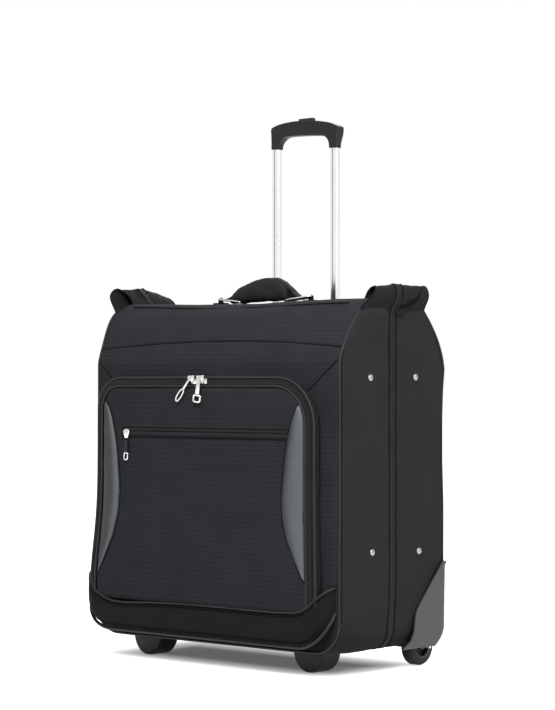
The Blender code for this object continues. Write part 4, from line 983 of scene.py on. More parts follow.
def pocket_wall(s, t):
    y = FRONT - 0.001 + (POCKET_FACE - FRONT + 0.001) * s
    out = 0.0022 * math.sin(math.pi * s) - 0.011 * (1 - s) ** 1.2
    return doorway_point(door, t, y, out), (y, door[1][-1] * t)


wall = rumple(lay_cloth("pocket_wall", 10, 150, pocket_wall), 0.0008, 0.04, 4.0)
thicken(wall, 0.0024, lined=True)
# The wall takes the darker copy of the plain nylon: painted shade.
dress(wall, "front_half", "black_cloth", PLAIN_SHADED, LINING, stands_for=("pocket_gusset",))


def doorway_route(inset, y):
    line = doorway(inset)
    return [doorway_point(line, k / 110, y) for k in range(111)]


wall_cord = run_cord("pocket_wall_piping", doorway_route(0.0008, POCKET_FACE - 0.0012), 0.0019)
dress(wall_cord, "front_half", "black_piping", PIPED)


# Pocket zip: tapes round the doorway, the outer one sewn to the pocket wall and the inner one to the pocket
# flap, with the coil where they meet. Each coil side rides with its tape.
COIL_INSET, ZIP_TILT = 0.0080, 0.0030


def hang(piece):
    """Takes a piece out of its body and bakes its place into its points."""
    piece.parent = None
    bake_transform(piece)


def zip_face(inset):
    """The pocket zip slopes forward from the wall to the flap."""
    return POCKET_FACE + 0.0006 - ZIP_TILT * inset / FLAP_INSET


PANEL_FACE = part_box("pocket_panel")[0].y
TAPES = (("outer", 0.0, COIL_INSET, "front_half", 1),
         ("inner", COIL_INSET, FLAP_INSET + 0.002, "pocket_flap", -1))
for label, near, far, body, sign in TAPES:
    first, last = doorway(near), doorway(far)

    def pocket_tape(s, t, first=first, last=last, near=near, far=far):
        a, b = spot(first, first[1][-1] * t)[0], spot(last, last[1][-1] * t)[0]
        x, z = a + (b - a) * s
        y = zip_face(near + (far - near) * s) - 0.0008 * math.sin(math.pi * s)
        return on_pocket(x, y, z), (s * COIL_INSET, first[1][-1] * t)

    tape = lay_cloth(f"pocket_tape_{label}", 5, 190, pocket_tape)
    thicken(tape, TAPE_SHEET)
    dress(tape, body, "zip_tape", TAPE, stands_for=(f"pocket_zip_{label}",))
    frames = []
    coil_line = doorway(COIL_INSET)
    for k in range(int(coil_line[1][-1] / TOOTH_PITCH) - 1):
        (x, z), (tx, tz) = spot(coil_line, TOOTH_PITCH * (k + 0.5 + 0.5 * (sign > 0)))
        outward = Vector((-tz, 0, tx)) * sign
        at = on_pocket(x, zip_face(COIL_INSET) - 0.0006, z) + outward * 0.0034
        frames.append((at, Vector((tx, 0, tz)), -outward, Vector((0, -1, 0))))
    coil = teeth(f"pocket_coil_{label}", frames, 0.0033, TOOTH_PITCH * 0.62, 0.0011)
    dress(coil, body, "zip_tape", COIL, flat=True)
    if body == "pocket_flap":
        hang(tape)
        hang(coil)


# Pocket flap: a lightly padded panel of the ribbed nylon, crowned, that the pocket zip lets fall open about
# its foot. A cord edges it along the zip.
panel_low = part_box("pocket_panel")[0]
FLAP_MARGIN = FLAP_INSET + 0.0014
PANEL_HALF, PANEL_TOP, PANEL_FOOT = POCKET_HALF - FLAP_MARGIN, POCKET_TOP - FLAP_MARGIN, panel_low.z
PANEL_CROWN = 0.0040


def panel_half(z, side):
    """Half the flap's width at a height, on its left (-1) or its right (1)."""
    radius = POCKET_ROUND[side] - FLAP_MARGIN
    above = max(0.0, z - (PANEL_TOP - radius))
    return PANEL_HALF - radius + math.sqrt(max(0.0, radius ** 2 - above ** 2))


def flap_y(x, z):
    """The crowned face of the flap, which rolls back at its edges."""
    edge = min(panel_half(z, 1 if x > 0 else -1) - abs(x), PANEL_TOP - z, 0.02)
    crown = PANEL_CROWN * (1 - (x / PANEL_HALF) ** 2) * (1 - ((z - 0.28) / 0.2) ** 2)
    return PANEL_FACE - max(0.0, crown) + rolled(edge, 0.010, 0.0042)


def flap_face(x, z, out=0.0):
    return on_pocket(x + FLAP_SHIFT, flap_y(x, z) - out, z)


def flap_cloth(s, t):
    rest = 1 - t
    z = PANEL_TOP - (PANEL_TOP - PANEL_FOOT) * rest * (0.15 + 0.85 * rest)
    share = edgeward(s)
    x = share * panel_half(z, 1 if share > 0 else -1)
    return flap_face(x, z), (x, z)


flap = rumple(lay_cloth("pocket_flap_cloth", 84, 96, flap_cloth), 0.0009, 0.05, 6.0)
thicken(flap, 0.0036, lined=True)
dress(flap, "pocket_flap", "black_cloth", RIBBED, LINING, stands_for=("pocket_panel",))
hang(flap)
flap_cord = run_cord("pocket_flap_piping", doorway_route(FLAP_INSET, PANEL_FACE + 0.0012), 0.0019)
dress(flap_cord, "pocket_flap", "black_piping", PIPED)
hang(flap_cord)


# Crescents: two slim panels of slate grey coated cloth let into the sides of the flap, each bounded by a
# cord along its hollow edge.
CRESCENT = ((0.4550, 0.2275), (0.4380, 0.2150), (0.4216, 0.2073), (0.4053, 0.2030), (0.3890, 0.1987),
            (0.3727, 0.1955), (0.3400, 0.1912), (0.3074, 0.1879), (0.2910, 0.1868), (0.2585, 0.1885),
            (0.2260, 0.1970), (0.1934, 0.2127), (0.1654, 0.2270), (0.1480, 0.2390))
CRESCENT_DROP = {-1: 0.016, 1: 0.0}


def crescent_row(side, t):
    """A height on a crescent, by a share of its run from its low tip up, and the x of its hollow edge there.
    The left one reaches lower."""
    drop = CRESCENT_DROP[side]
    z = CRESCENT[-1][0] - drop + (CRESCENT[0][0] - CRESCENT[-1][0] + drop) * t
    return z, row_at(CRESCENT[::-1], z + drop * ease((0.30 - z) / 0.15))


def crescent_maker(side):
    def place(s, t):
        z, inner = crescent_row(side, t)
        outer = max(inner, panel_half(z, side) - 0.0028)
        x = inner + (outer - inner) * (s if side > 0 else 1 - s)
        across = (x - inner) / max(outer - inner, 1e-6)
        out = 0.0007 + 0.14 * (outer - inner) * math.sin(math.pi * across ** 0.58)
        return flap_face(side * x, z, out), (x, z)
    return place


def coated(name, dark, light):
    """Coated cloth with a painted sheen: paler where its face turns to the right, as if lit from that side.
    """
    material, shader = new_finish(name, dark, 0.45, specular=0.25)
    texture = node(material, "ShaderNodeTexCoord")
    facing = node(material, "ShaderNodeSeparateXYZ", {0: texture.outputs["Normal"]}).outputs["X"]
    cloud = speckle(material, texture.outputs["Object"], 45.0, 4.0)
    # Painted sheen: the colour pales as the face turns to the right.
    painted_sheen = sum_of(material, cloud, 0.10, facing)
    share = node(material, "ShaderNodeMapRange", {"Value": painted_sheen, "From Min": -0.16, "From Max": 0.30})
    grain = speckle(material, texture.outputs["Object"], 1100.0, 3.0)
    return surface(material, shader, tint(material, share.outputs[0], dark, light), cloud, (0.38, 0.52),
                   0.5, 0.0001, grain)


# The pale colour is painted highlight, taken by faces that turn to the right.
COATED = coated("grey_coated_cloth_painted_sheen", (0.013, 0.014, 0.0165), (0.100, 0.107, 0.119))
for side, label in SIDES:
    leaf = rumple(lay_cloth(f"crescent_{label}_cloth", 12, 90, crescent_maker(side)), 0.0006, 0.03,
                  8.0 + side)
    thicken(leaf, 0.0010)
    dress(leaf, "pocket_flap", "grey_coated_panel", COATED, stands_for=(f"crescent_{label}",))
    route = []
    for k in range(61):
        z, hollow = crescent_row(side, k / 60)
        route.append(flap_face(side * (hollow - 0.0008), z, 0.0006))
    cord = run_cord(f"crescent_{label}_cord", route, 0.0013)
    dress(cord, "pocket_flap", "black_piping", THREAD)


# Second zip across the flap: its coil lies under a folded welt of the ribbed nylon, between two tapes.
lower_low, lower_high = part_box("lower_zip")
LOWER_START, LOWER_END = lower_low.x + 0.0095, lower_high.x + 0.0120
LOWER_Z = lower_high.z - 0.0034


def welt_maker(low, high, out, fullness):
    def place(s, t):
        x = LOWER_START + (LOWER_END - LOWER_START) * s
        z = low + (high - low) * t
        return flap_face(x, z, out + fullness * math.sin(math.pi * t) ** 0.6), (x, z)
    return place


lower_tape = lay_cloth("lower_tape", 90, 6, welt_maker(lower_low.z - 0.0006, lower_high.z, 0.0002, 0.0002))
dress(thicken(lower_tape, 0.0008), "pocket_flap", "zip_tape", TAPE,
      stands_for=("lower_zip",))
welt = lay_cloth("lower_welt", 90, 8, welt_maker(LOWER_Z - 0.0120, LOWER_Z - 0.0034, 0.0003, 0.0018))
dress(thicken(welt, 0.0010), "pocket_flap", "black_cloth", RIBBED)
# The line above the coil, along the tape's top edge, is painted shade; the two below it edge the welt.
for name, z, radius in (("above", LOWER_Z + 0.0030, 0.0009), ("middle", LOWER_Z - 0.0028, 0.0008),
                        ("below", LOWER_Z - 0.0130, 0.0012)):
    route = [flap_face(LOWER_START + (LOWER_END - LOWER_START) * k / 60, z, 0.0005) for k in range(61)]
    dress(run_cord(f"lower_dark_line_{name}", route, radius), "pocket_flap", "black_piping", THREAD)
for sign, label in ((-1, "below"), (1, "above")):
    frames = []
    for k in range(int((LOWER_END - LOWER_START - 0.016) / TOOTH_PITCH)):
        x = LOWER_START + 0.012 + TOOTH_PITCH * (k + 0.5 * (sign > 0))
        frames.append((flap_face(x, LOWER_Z + sign * 0.0020, 0.0005), Vector((1, 0, 0)),
                       Vector((0, 0, -sign)), Vector((0, -1, 0))))
    coil = teeth(f"lower_coil_{label}", frames, 0.0022, TOOTH_PITCH * 0.62, 0.0009)
    dress(coil, "pocket_flap", "zip_tape", COIL, flat=True)


# Zip sliders and pulls: die-cast zinc plated with nickel. The pocket's two pulls hang slantwise from crowns
# on their sliders, a slim one and a broad one with a squarish eye; the lower one has a ribbed black tab and
# a wire end.
def softened(node_name, name, width):
    """A merged copy of a CAD node with rounded edges."""
    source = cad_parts[node_name]
    copy = bpy.data.objects.new(name, source.data.copy())
    scene.collection.objects.link(copy)
    edit(copy, (bpy.ops.mesh.remove_doubles, {"threshold": 1e-5}),
         (bpy.ops.mesh.dissolve_limited, {"angle_limit": math.radians(1)}))
    return bevel(copy, width, 2, 35)


def flat_bar(name, start, end, width, end_width, thick, rounding):
    """A bar cast flat from one point to another, facing forward, its edges rounded."""
    start, end = Vector(start), Vector(end)
    along = end - start
    side = along.cross(Vector((0, 1, 0))).normalized()
    bpy.ops.object.select_all(action="DESELECT")
    bpy.ops.mesh.primitive_cube_add(size=1)
    bar = bpy.context.object
    bar.name = bar.data.name = name
    for vertex in bar.data.vertices:
        u, v, w = vertex.co
        wide = width if w < 0 else end_width
        vertex.co = start + along * (w + 0.5) + side * (u * wide) + Vector((0, v * thick, 0))
    edit(bar, (bpy.ops.mesh.normals_make_consistent, {"inside": False}))
    return press(bar, "BEVEL", width=rounding, segments=2, limit_method="NONE")


def wire_loop(name, middle, along, half_long, half_wide, wire, power):
    """A closed wire loop in the plane of the zip, from round to squarish by its power."""
    along = Vector(along).normalized()
    side = along.cross(Vector((0, 1, 0)))
    points = []
    for k in range(28):
        c, w = math.cos(2 * math.pi * k / 28), math.sin(2 * math.pi * k / 28)
        points.append(Vector(middle) + along * half_long * bent(c, 2 / power)
                      + side * half_wide * bent(w, 2 / power))
    return run_cord(name, points, wire, closed=True)


def joined(first, *others):
    only(first)
    for other in others:
        other.select_set(True)
    bpy.ops.object.join()
    return first


NICKEL = grained("nickel_plate", (0.66, 0.65, 0.63), 0.24, 0.0015, 0.00003, metallic=1.0, spots=0.06)
PULL_Y = -0.1578
POCKET_PULLS = (("left", (-0.016, 0.4898), (-0.033, -0.039), 0.0155, 0.0045, (0.0125, 0.0042, 0.0014, 2.4)),
                ("right", (0.005, 0.4900), (-0.0062, -0.0416), 0.0175, 0.0092,
                 (0.0056, 0.0074, 0.0018, 4.5)))
for label, (x, z), (dx, dz), crown_wide, bar_wide, (half_long, half_wide, wire, power) in POCKET_PULLS:
    body = softened(f"slider_{label}", f"slider_{label}_body", 0.0005)
    crown = flat_bar("crown", (x, PULL_Y + 0.0012, z + 0.0048), (x, PULL_Y + 0.0012, z - 0.0048), crown_wide,
                     crown_wide * 0.8, 0.0052, 0.0014)
    dress(joined(body, crown), f"slider_{label}", "nickel", NICKEL, stands_for=(f"slider_{label}",),
          flat=True)
    eye, reach_out = Vector((x, PULL_Y - 0.0022, z)), Vector((dx, 0, dz))
    loop_middle = eye + reach_out * (1 - (half_long + wire) / reach_out.length)
    bar_end = eye + reach_out * (1 - (2 * half_long + 2 * wire) / reach_out.length)
    loop = wire_loop(f"pull_{label}_cast", loop_middle, reach_out, half_long, half_wide, wire, power)
    bar = flat_bar("bar", eye, bar_end, bar_wide * 0.8, bar_wide, 0.0026, 0.0008)
    dress(joined(loop, bar), f"pull_{label}", "nickel", NICKEL, stands_for=(f"pull_{label}",), flat=True)

BLACK = grained("black_plastic", (0.0095, 0.0098, 0.0112), 0.45, 0.0011, 0.00006, specular=0.22)
LOWER_X, LOWER_PULL_Y = -0.1705, -0.1570
lower_body = softened("lower_slider", "lower_slider_body", 0.0005)
lower_crown = flat_bar("crown", (LOWER_X, LOWER_PULL_Y, 0.3990), (LOWER_X, LOWER_PULL_Y, 0.3858), 0.0160,
                       0.0065, 0.0046, 0.0014)
dress(joined(lower_body, lower_crown), "lower_slider", "nickel", NICKEL, stands_for=("lower_slider",),
      flat=True)
lower_tab = flat_bar("lower_pull_tab", (LOWER_X, LOWER_PULL_Y, 0.3830),
                     (LOWER_X - 0.001, LOWER_PULL_Y, 0.3610), 0.0072, 0.0085, 0.0030, 0.0007)
ribs = [flat_bar("rib", (LOWER_X - 0.0031, LOWER_PULL_Y - 0.0015, 0.3795 - 0.0026 * k),
                 (LOWER_X + 0.0029, LOWER_PULL_Y - 0.0015, 0.3795 - 0.0026 * k), 0.0012, 0.0012, 0.0010,
                 0.0003) for k in range(7)]
dress(joined(lower_tab, *ribs), "lower_pull", "black_plastic", BLACK, stands_for=("lower_pull",), flat=True)
lower_end = wire_loop("lower_pull_wire", (LOWER_X - 0.0018, LOWER_PULL_Y, 0.3545), (-0.05, 0, -1), 0.0062,
                      0.0042, 0.0013, 3.0)
dress(lower_end, "lower_pull", "nickel", NICKEL)
for name in ("main_slider_upper", "main_slider_lower", "main_pull_upper", "main_pull_lower"):
    dress(softened(name, f"{name}_cast", 0.0005), name, "nickel", NICKEL, stands_for=(name,), flat=True)


# Carry handle: black webbing between two nickel rings on sewn anchors, wrapped at the middle in a padded
# sleeve of the smooth band cloth that is stitched shut along its underside. The sleeve has slid to one end,
# over the webbing.
pad_low, pad_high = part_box("handle_pad")
strap_low, strap_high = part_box("handle_strap")
HANDLE_Y = (pad_low.y + pad_high.y) / 2
PAD_SECTIONS = ((-0.0780, 0.6230, 0.6350, 0.0080), (-0.0650, 0.6222, 0.6450, 0.0105),
                (-0.0450, 0.6222, 0.6552, 0.0118), (-0.0250, 0.6232, 0.6616, 0.0124),
                (-0.0050, 0.6240, 0.6652, 0.0126), (0.0150, 0.6245, 0.6665, 0.0126),
                (0.0340, 0.6243, 0.6652, 0.0122), (0.0450, 0.6242, 0.6608, 0.0118),
                (0.0530, 0.6242, 0.6545, 0.0110), (0.0575, 0.6246, 0.6490, 0.0096))
STRAP_RUN = ((-0.0965, 0.6290), (-0.0850, 0.6305), (-0.0750, 0.6330), (-0.0500, 0.6440), (0.0000, 0.6500),
             (0.0300, 0.6550), (0.0420, 0.6560), (0.0550, 0.6490), (0.0766, 0.6325), (0.0880, 0.6305),
             (0.0965, 0.6290))
RING_X, RING_LONG, RING_WIDE, RING_Z = 0.0778, 0.0285, 0.0105, 0.6280
WEB_END = ((0.0480, 0.6262), (0.0740, 0.6275), (0.0772, 0.6300), (0.0754, 0.6322), (0.0665, 0.6425),
           (0.0580, 0.6490), (0.0480, 0.6530))
PUFF_VOXEL, PUFF_PRESSURE, PUFF_LIMIT = 0.0032, 4.0, 0.0030


def extruded(name, outline, rise):
    """A bar of one section: an outline of points drawn out along a vector."""
    bpy.ops.object.select_all(action="DESELECT")
    bpy.ops.mesh.primitive_circle_add(vertices=len(outline), radius=1, fill_type="NGON")
    bar = bpy.context.object
    bar.name = bar.data.name = name
    for vertex, at in zip(bar.data.vertices, outline):
        vertex.co = at
    return edit(bar, (bpy.ops.mesh.extrude_region_move, {"TRANSFORM_OT_translate": {"value": rise}}),
                (bpy.ops.mesh.select_all, {"action": "SELECT"}),
                (bpy.ops.mesh.normals_make_consistent, {"inside": False}))


def pad_cloth(s, t):
    x, low, high, depth = through([Vector(row) for row in PAD_SECTIONS], s)
    c, w = math.cos(2 * math.pi * t), math.sin(2 * math.pi * t)
    y = HANDLE_Y - depth * bent(c, 0.8)
    z = (low + high) / 2 + (high - low) / 2 * bent(w, 0.85)
    return Vector((x, y, z)), (x, 0.09 * t)


def close_ends(piece):
    """Merges the side seam of a sleeve and fills its two open ends."""
    only(piece)
    bpy.ops.object.mode_set(mode="EDIT")
    bpy.ops.mesh.select_all(action="SELECT")
    bpy.ops.mesh.remove_doubles(threshold=1e-5)
    bpy.ops.mesh.select_all(action="DESELECT")
    bpy.ops.mesh.select_non_manifold()
    bpy.ops.mesh.edge_face_add()
    bpy.ops.mesh.select_all(action="SELECT")
    bpy.ops.mesh.normals_make_consistent(inside=False)
    bpy.ops.object.mode_set(mode="OBJECT")
    return piece


def puff(piece, voxel, pressure, limit):
    """Blows a padded piece up as cloth over its filling, and keeps each point within a limit of its sewn
    place."""
    press(piece, "REMESH", mode="VOXEL", voxel_size=voxel)
    sewn = [vertex.co.copy() for vertex in piece.data.vertices]
    only(piece)
    cloth = piece.modifiers.new("cloth", "CLOTH")
    cloth.settings.use_pressure = True
    cloth.settings.uniform_pressure_force = pressure
    cloth.settings.effector_weights.gravity = 0.0
    for step in range(1, 21):
        scene.frame_set(step)
    bpy.ops.object.modifier_apply(modifier=cloth.name)
    scene.frame_set(1)
    for vertex, home in zip(piece.data.vertices, sewn):
        move = vertex.co - home
        vertex.co = home + move * min(1.0, limit / max(move.length, 1e-9))
    return press(piece, "SUBSURF", levels=1, render_levels=1)


SLEEVE = woven("sleeve_cloth", (0.0072, 0.0073, 0.0084), (0.0190, 0.0192, 0.0215), 0.0009, 0.0009, 0.00015,
               rough=0.65, specular=0.15, by="Object", cross=0.9)
pad = close_ends(lay_cloth("handle_pad_cloth", 40, 32, pad_cloth))
puff(pad, PUFF_VOXEL, PUFF_PRESSURE, PUFF_LIMIT)
rumple(pad, 0.0016, 0.016, 1.5)
dress(pad, "carry_handle", "black_cloth", SLEEVE, stands_for=("handle_pad",))


def strap_cloth(s, t):
    x, z = through([Vector(at) for at in STRAP_RUN], s)
    y = HANDLE_Y + (t - 0.5) * (strap_high.y - strap_low.y)
    return Vector((x, y, z + 0.0012)), (x, y)


WEB = woven("black_webbing", (0.0040, 0.0040, 0.0044), (0.0125, 0.0125, 0.0135), 0.0014, 0.0018, 0.0003,
            rough=0.65, cross=0.8)
strap = lay_cloth("handle_webbing", 60, 8, strap_cloth)
thicken(strap, 0.0024)
dress(strap, "carry_handle", "black_webbing", WEB, stands_for=("handle_strap",))
for side, label in SIDES:
    points = []
    for k in range(36):
        c, w = math.cos(2 * math.pi * k / 36), math.sin(2 * math.pi * k / 36)
        points.append((side * (RING_X + RING_LONG * bent(c, 0.7)),
                       HANDLE_Y + RING_WIDE * bent(w, 0.7), RING_Z + 0.0035 * c))
    ring = run_cord(f"handle_ring_{label}_wire", points, 0.0019, closed=True)
    dress(ring, "carry_handle", "nickel", NICKEL, stands_for=(f"handle_ring_{label}",))
    fold_low = [(side * x, strap_low.y + 0.002, z) for x, z in WEB_END]
    folded = extruded(f"handle_webbing_end_{label}", fold_low, (0, strap_high.y - strap_low.y - 0.004, 0))
    bevel(folded, 0.0010, 2, 30)
    dress(folded, "carry_handle", "black_webbing", WEB, flat=True)
    anchor = softened(f"handle_anchor_{label}", f"handle_anchor_{label}_web", 0.0005)
    dress(anchor, "rear_half", "black_webbing", WEB, stands_for=(f"handle_anchor_{label}",), flat=True)


# Trolley handle: two drawn aluminium tubes, each with a groove down its front, and a slim moulded black grip
# arched between them with its release button, through a moulded collar on the shoulder. Two small rivets
# hold a tube's end.
ALUMINIUM = grained("polished_aluminium", (0.78, 0.79, 0.81), 0.22, 0.0008, 0.00002, metallic=1.0,
                    spots=0.04, stretch=(1, 1, 0.02))
GROOVE = grained("groove_shadow", (0.10, 0.10, 0.105), 0.5, 0.0008, 0.00002, metallic=0.6, spots=0.1)
STEEL = grained("steel", (0.50, 0.51, 0.52), 0.34, 0.001, 0.00002, metallic=1.0, spots=0.08)
BRASSY = grained("tube_rivet", (0.52, 0.40, 0.24), 0.30, 0.001, 0.00002, metallic=1.0, spots=0.1)
grip_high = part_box("grip")[1]
button_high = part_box("release_button")[1]
GRIP_Y = 0.1285
GRIP_TOP = grip_high.z
GRIP_DEEP, GRIP_EDGE, GRIP_TILT = 0.0200, 0.0040, 0.045
GRIP_OUTER = ((0.0764, -0.0510), (0.0766, -0.0360), (0.0776, -0.0190), (0.0778, -0.0156), (0.0764, -0.0126),
              (0.0720, -0.0100), (0.0560, -0.0052), (0.0300, -0.0016), (0.0000, 0.0000))
GRIP_INNER = ((0.0000, -0.0272), (0.0300, -0.0276), (0.0450, -0.0290), (0.0530, -0.0335), (0.0578, -0.0410),
              (0.0590, -0.0510))
LEG_Y, LEG_DEEP = (TUBE_FRONT + TUBE_BACK) / 2, 0.68
TUBE_ROUND, GROOVE_HALF, GROOVE_DEEP, GROOVE_OFF = 0.0026, 0.0006, 0.0010, 0.0014
TUBE_RIVET = ((0.0018, -0.0005), (0.0018, 0.0003), (0.0013, 0.0008), (0.0, 0.0010))


def turned(name, profile, at, axis, steps=24):
    """A piece turned on a lathe: a profile of (radius, rise) spun about an axis through a point."""
    axis = Vector(axis).normalized()
    side = axis.orthogonal().normalized()
    other = axis.cross(side)

    def place(s, t):
        k = min(int(s * (len(profile) - 1) + 1e-4), len(profile) - 2)
        (r0, h0), (r1, h1) = profile[k], profile[k + 1]
        f = s * (len(profile) - 1) - k
        radius, rise = r0 + (r1 - r0) * f, h0 + (h1 - h0) * f
        turn = 2 * math.pi * t
        around = side * math.cos(turn) + other * math.sin(turn)
        return Vector(at) + axis * rise + around * radius, (radius, rise)
    return edit(lay_cloth(name, len(profile) - 1, steps, place),
                (bpy.ops.mesh.remove_doubles, {"threshold": 1e-6}),
                (bpy.ops.mesh.normals_make_consistent, {"inside": False}))


half_outline = [through([Vector(at) for at in GRIP_OUTER], k / 40) for k in range(41)]
half_inside = [through([Vector(at) for at in GRIP_INNER], k / 24) for k in range(25)]
right_run = half_inside[1:] + half_outline
grip_outline = [(x, GRIP_Y - GRIP_DEEP / 2, GRIP_TOP + z) for x, z in right_run]
grip_outline += [(-x, GRIP_Y - GRIP_DEEP / 2, GRIP_TOP + z) for x, z in reversed(right_run[:-1])]
grip_outline.append((0.0, GRIP_Y - GRIP_DEEP / 2, GRIP_TOP + GRIP_INNER[0][1]))
grip = extruded("grip_moulding", grip_outline, (0, GRIP_DEEP, 0))
bevel(grip, GRIP_EDGE, 4, 50)
for vertex in grip.data.vertices:
    at = vertex.co
    slim = ease((GRIP_TOP - 0.022 - at.z) / 0.026)
    at.y += (LEG_Y + (at.y - GRIP_Y) * LEG_DEEP - at.y) * slim
    at.z -= GRIP_TILT * at.x
dress(grip, "trolley", "black_plastic", BLACK, stands_for=("grip",), flat=True)
button = flat_bar("release_button_moulding", (0, GRIP_Y, button_high.z), (0, GRIP_Y, GRIP_TOP - 0.012),
                  0.0335, 0.0365, 0.0085, 0.0016)
dress(button, "release_button", "black_plastic", BLACK, stands_for=("release_button",), flat=True)
dress(softened("trolley_collar", "trolley_collar_moulding", 0.0008), "rear_half", "black_plastic", BLACK,
      stands_for=("trolley_collar",), flat=True)


def tube_outline(middle_x, low, high):
    """A tube's section: a rounded oblong with a groove in its front."""
    half_x, half_y, y = (high.x - low.x) / 2, (TUBE_BACK - TUBE_FRONT) / 2, (TUBE_BACK + TUBE_FRONT) / 2
    points = []
    for cx, cy, first in ((1, -1, -90), (1, 1, 0), (-1, 1, 90), (-1, -1, 180)):
        for k in range(5):
            a = math.radians(first + 90 * k / 4)
            points.append((middle_x + cx * (half_x - TUBE_ROUND) + TUBE_ROUND * math.cos(a),
                           y + cy * (half_y - TUBE_ROUND) + TUBE_ROUND * math.sin(a), low.z))
    groove = middle_x - GROOVE_OFF
    front = y - half_y
    return points + [(groove - GROOVE_HALF, front, low.z),
                     (groove - GROOVE_HALF, front + GROOVE_DEEP, low.z),
                     (groove + GROOVE_HALF, front + GROOVE_DEEP, low.z),
                     (groove + GROOVE_HALF, front, low.z)]


for side, label in SIDES:
    low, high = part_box(f"tube_{label}")
    middle_x = (low.x + high.x) / 2
    tube = extruded(f"tube_{label}_drawn", tube_outline(middle_x, low, high), (0, 0, high.z - low.z))
    dress(tube, "trolley", "polished_aluminium", ALUMINIUM, GROOVE, stands_for=(f"tube_{label}",), flat=True)
    for face in tube.data.polygons:
        at = face.center
        beside = abs(at.x - middle_x + GROOVE_OFF) < GROOVE_HALF * 1.1
        if beside and at.y < TUBE_FRONT + GROOVE_DEEP * 1.1 and abs(face.normal.z) < 0.5:
            face.material_index = 1
    for k, z in enumerate((GRIP_TOP - 0.0675, GRIP_TOP - 0.0805)):
        rivet = turned(f"tube_rivet_{label}_{k}", TUBE_RIVET, (high.x if side > 0 else low.x, LEG_Y, z),
                       (side, 0, 0), 16)
        dress(rivet, "trolley", "steel", BRASSY)


# Wheels, guards and feet: rubber tyres on black spoked hubs, grey moulded guards that wrap the low back
# corners and house them, each held by a screw, and two black half-round feet under the front.
RUBBER = grained("black_tyre", (0.012, 0.012, 0.013), 0.65, 0.0014, 0.00015, specular=0.25)
MOULDED = grained("grey_moulded_guard", (0.041, 0.044, 0.049), 0.42, 0.0010, 0.00012, specular=0.35,
                  spots=0.10)
FOOT = grained("foot_plastic", (0.0165, 0.0170, 0.0192), 0.50, 0.0011, 0.00006, specular=0.22)
GUARD_FRONT = ((0.0345, 0.0350), (0.0409, 0.0460), (0.0480, 0.0597), (0.0625, 0.0680), (0.0825, 0.0707),
               (0.0930, 0.0730), (0.1006, 0.0770), (0.1274, 0.1014), (0.1771, 0.1495))
GUARD_ROUND, GUARD_HEEL, HEEL_TOP = 0.010, 0.0230, 0.067
GUARD_SIDE, GUARD_BACK = guard_high.x + 0.0008, guard_high.y - 0.0022
GUARD_INNER, GUARD_SLOPE_FROM = 0.2060, 0.100
SCREW_SEAT = ((0.0060, -0.001), (0.0060, 0.0003), (0.0046, 0.0004), (0.0, 0.0004))
SCREW_HEAD = ((0.0040, -0.001), (0.0040, 0.0010), (0.0033, 0.0016), (0.0016, 0.0018), (0.0012, 0.0010),
              (0.0, 0.0010))
FOOT_FORWARD, FOOT_SHIFT = 0.36, (-0.0045, -0.0045, 0.0)


def guard_rear(z):
    """The y of the guard's back at a height: it leans in a little and rounds forward under the heel."""
    return GUARD_BACK + 0.02 * (z - 0.09) - GUARD_HEEL * max(0.0, (HEEL_TOP - z) / 0.031) ** 2


def guard_maker(side):
    def place(s, t):
        z = GUARD_FRONT[0][0] + (GUARD_FRONT[-1][0] - GUARD_FRONT[0][0]) * t
        heel = guard_rear(z)
        front = min(row_at(GUARD_FRONT, z), heel - 0.003)
        up = max(0.0, z - GUARD_SLOPE_FROM) / (GUARD_FRONT[-1][0] - GUARD_SLOPE_FROM)
        inner = GUARD_INNER + (GUARD_SIDE - 0.003 - GUARD_INNER) * up
        turn = min(GUARD_ROUND, (heel - front) * 0.9, (GUARD_SIDE - inner) * 0.9)
        run = measured([(GUARD_SIDE, front), (GUARD_SIDE, heel - turn)]
                       + [(GUARD_SIDE - turn + turn * math.cos(a), heel - turn + turn * math.sin(a))
                          for a in quarter(8)[1:]] + [(inner, heel)])
        x, y = spot(run, run[1][-1] * (s if side < 0 else 1 - s))[0]
        return Vector((side * x, y, z)), (run[1][-1] * s, z)
    return place


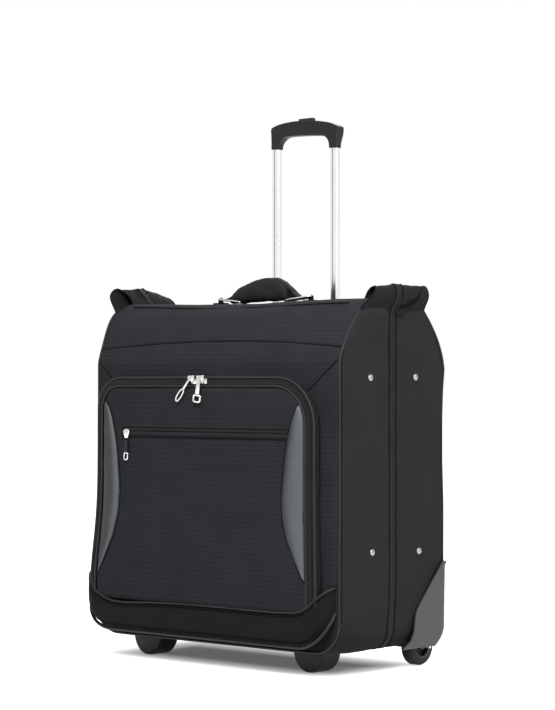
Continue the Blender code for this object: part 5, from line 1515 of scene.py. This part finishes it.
for side, label in SIDES:
    housing = softened(f"guard_{label}", f"guard_{label}_housing", 0.0010)
    for vertex in housing.data.vertices:
        at = vertex.co
        at.x = side * min(side * at.x, GUARD_SIDE - 0.0022)
        at.y = min(at.y, guard_rear(at.z) - 0.0022)
        if at.z < HEEL_TOP and side * at.x > GUARD_SIDE - GUARD_ROUND:
            at.y = min(at.y, guard_rear(at.z) - 0.0060)
        if at.z > GUARD_SLOPE_FROM:
            at.y = max(at.y, row_at(GUARD_FRONT, at.z) + 0.002)
            at.y = min(at.y, guard_rear(at.z) - 0.0022)
    dress(housing, "rear_half", "grey_moulded_guard", MOULDED, stands_for=(f"guard_{label}",), flat=True)
    skin = lay_cloth(f"guard_{label}_moulding", 60, 60, guard_maker(side))
    thicken(skin, 0.0030)
    bevel(skin, 0.0008, 2, 50)
    dress(skin, "rear_half", "grey_moulded_guard", MOULDED, flat=True)
    seam = [(side * GUARD_SIDE, min(row_at(GUARD_FRONT, z), guard_rear(z) - 0.003), z)
            for z in [0.0360 + 0.1405 * k / 60 for k in range(61)]]
    dress(run_cord(f"guard_{label}_seam", seam, 0.0013), "rear_half", "black_piping", THREAD)
    head = (side * GUARD_SIDE, 0.1070, 0.1117)
    seat = turned(f"guard_{label}_screw_seat", SCREW_SEAT, head, (side, 0, 0), 24)
    dress(seat, "rear_half", "black_plastic", BLACK)
    screw = turned(f"guard_{label}_screw", SCREW_HEAD, head, (side, 0, 0), 20)
    dress(screw, "rear_half", "steel", STEEL)
    low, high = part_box(f"tyre_{label}")
    hub_low, hub_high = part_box(f"wheel_hub_{label}")
    axle = ((low.x + high.x) / 2, (low.y + high.y) / 2, (low.z + high.z) / 2)
    big, wide = (high.z - low.z) / 2, (high.x - low.x) / 2
    small = (hub_high.z - hub_low.z) / 2 + 0.0003
    half_profile = ((small, wide), (big - 0.0045, wide), (big - 0.0016, wide - 0.0012), (big, wide - 0.0042),
                    (big, 0.0040), (big - 0.0008, 0.0034))
    profile = [(r, -h) for r, h in half_profile] + list(half_profile[::-1]) + [(small, -wide)]
    tyre = turned(f"tyre_{label}_moulding", profile, axle, (1, 0, 0), 64)
    dress(tyre, f"wheel_{label}", "black_tyre", RUBBER, stands_for=(f"tyre_{label}",), flat=True)
    dress(softened(f"wheel_hub_{label}", f"wheel_hub_{label}_moulding", 0.0008), f"wheel_{label}",
          "black_plastic", BLACK, stands_for=(f"wheel_hub_{label}",), flat=True)
    foot = softened(f"foot_{label}", f"foot_{label}_moulding", 0.0012)
    foot_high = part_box(f"foot_{label}")[1]
    for vertex in foot.data.vertices:
        vertex.co.y -= (foot_high.y - vertex.co.y) * FOOT_FORWARD
        vertex.co += Vector(FOOT_SHIFT)
    dress(foot, "front_half", "black_plastic", FOOT, stands_for=(f"foot_{label}",), flat=True)


# Side rivets: domed nickel rivets that hold the stiffening hoops to the gussets, four on each side.
DULL = grained("dull_nickel", (0.27, 0.275, 0.29), 0.38, 0.0015, 0.00003, metallic=1.0, spots=0.15)
RIVETS = (("front", -0.0445, 0.491), ("rear", 0.0786, 0.492), ("front", -0.0415, 0.203),
          ("rear", 0.0876, 0.198))
RIVET_DOME = ((0.0060, -0.0012), (0.0060, 0.0004), (0.0052, 0.0014), (0.0036, 0.0022), (0.0018, 0.0026),
              (0.0, 0.0027))
for side, label in SIDES:
    for k, (half, y, z) in enumerate(RIVETS):
        cloth = front_gusset if half == "front" else rear_gusset
        at, normal = cloth.ray_cast(Vector((side * 0.4, y, z)), Vector((-side, 0, 0)))[1:3]
        rivet = turned(f"side_rivet_{label}_{k}", RIVET_DOME, at, normal, 24)
        dress(rivet, f"{half}_half", "nickel", DULL)


# Inside pieces that stay as the solids have them.
BOARD = grained("lining_board", (0.045, 0.045, 0.048), 0.75, 0.002, 0.0001)
INSIDE = (("axle_left", STEEL), ("axle_right", STEEL), ("back_board", BOARD), ("front_hoop", BOARD),
          ("rear_hoop", BOARD), ("sleeve_left", ALUMINIUM), ("sleeve_right", ALUMINIUM),
          ("trolley_base", BLACK), ("release_bar", BLACK), ("hanger_bracket", BLACK), ("garment_strap", WEB))
for name, finish in INSIDE:
    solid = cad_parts[name]
    solid.data.materials.clear()
    solid.data.materials.append(finish)
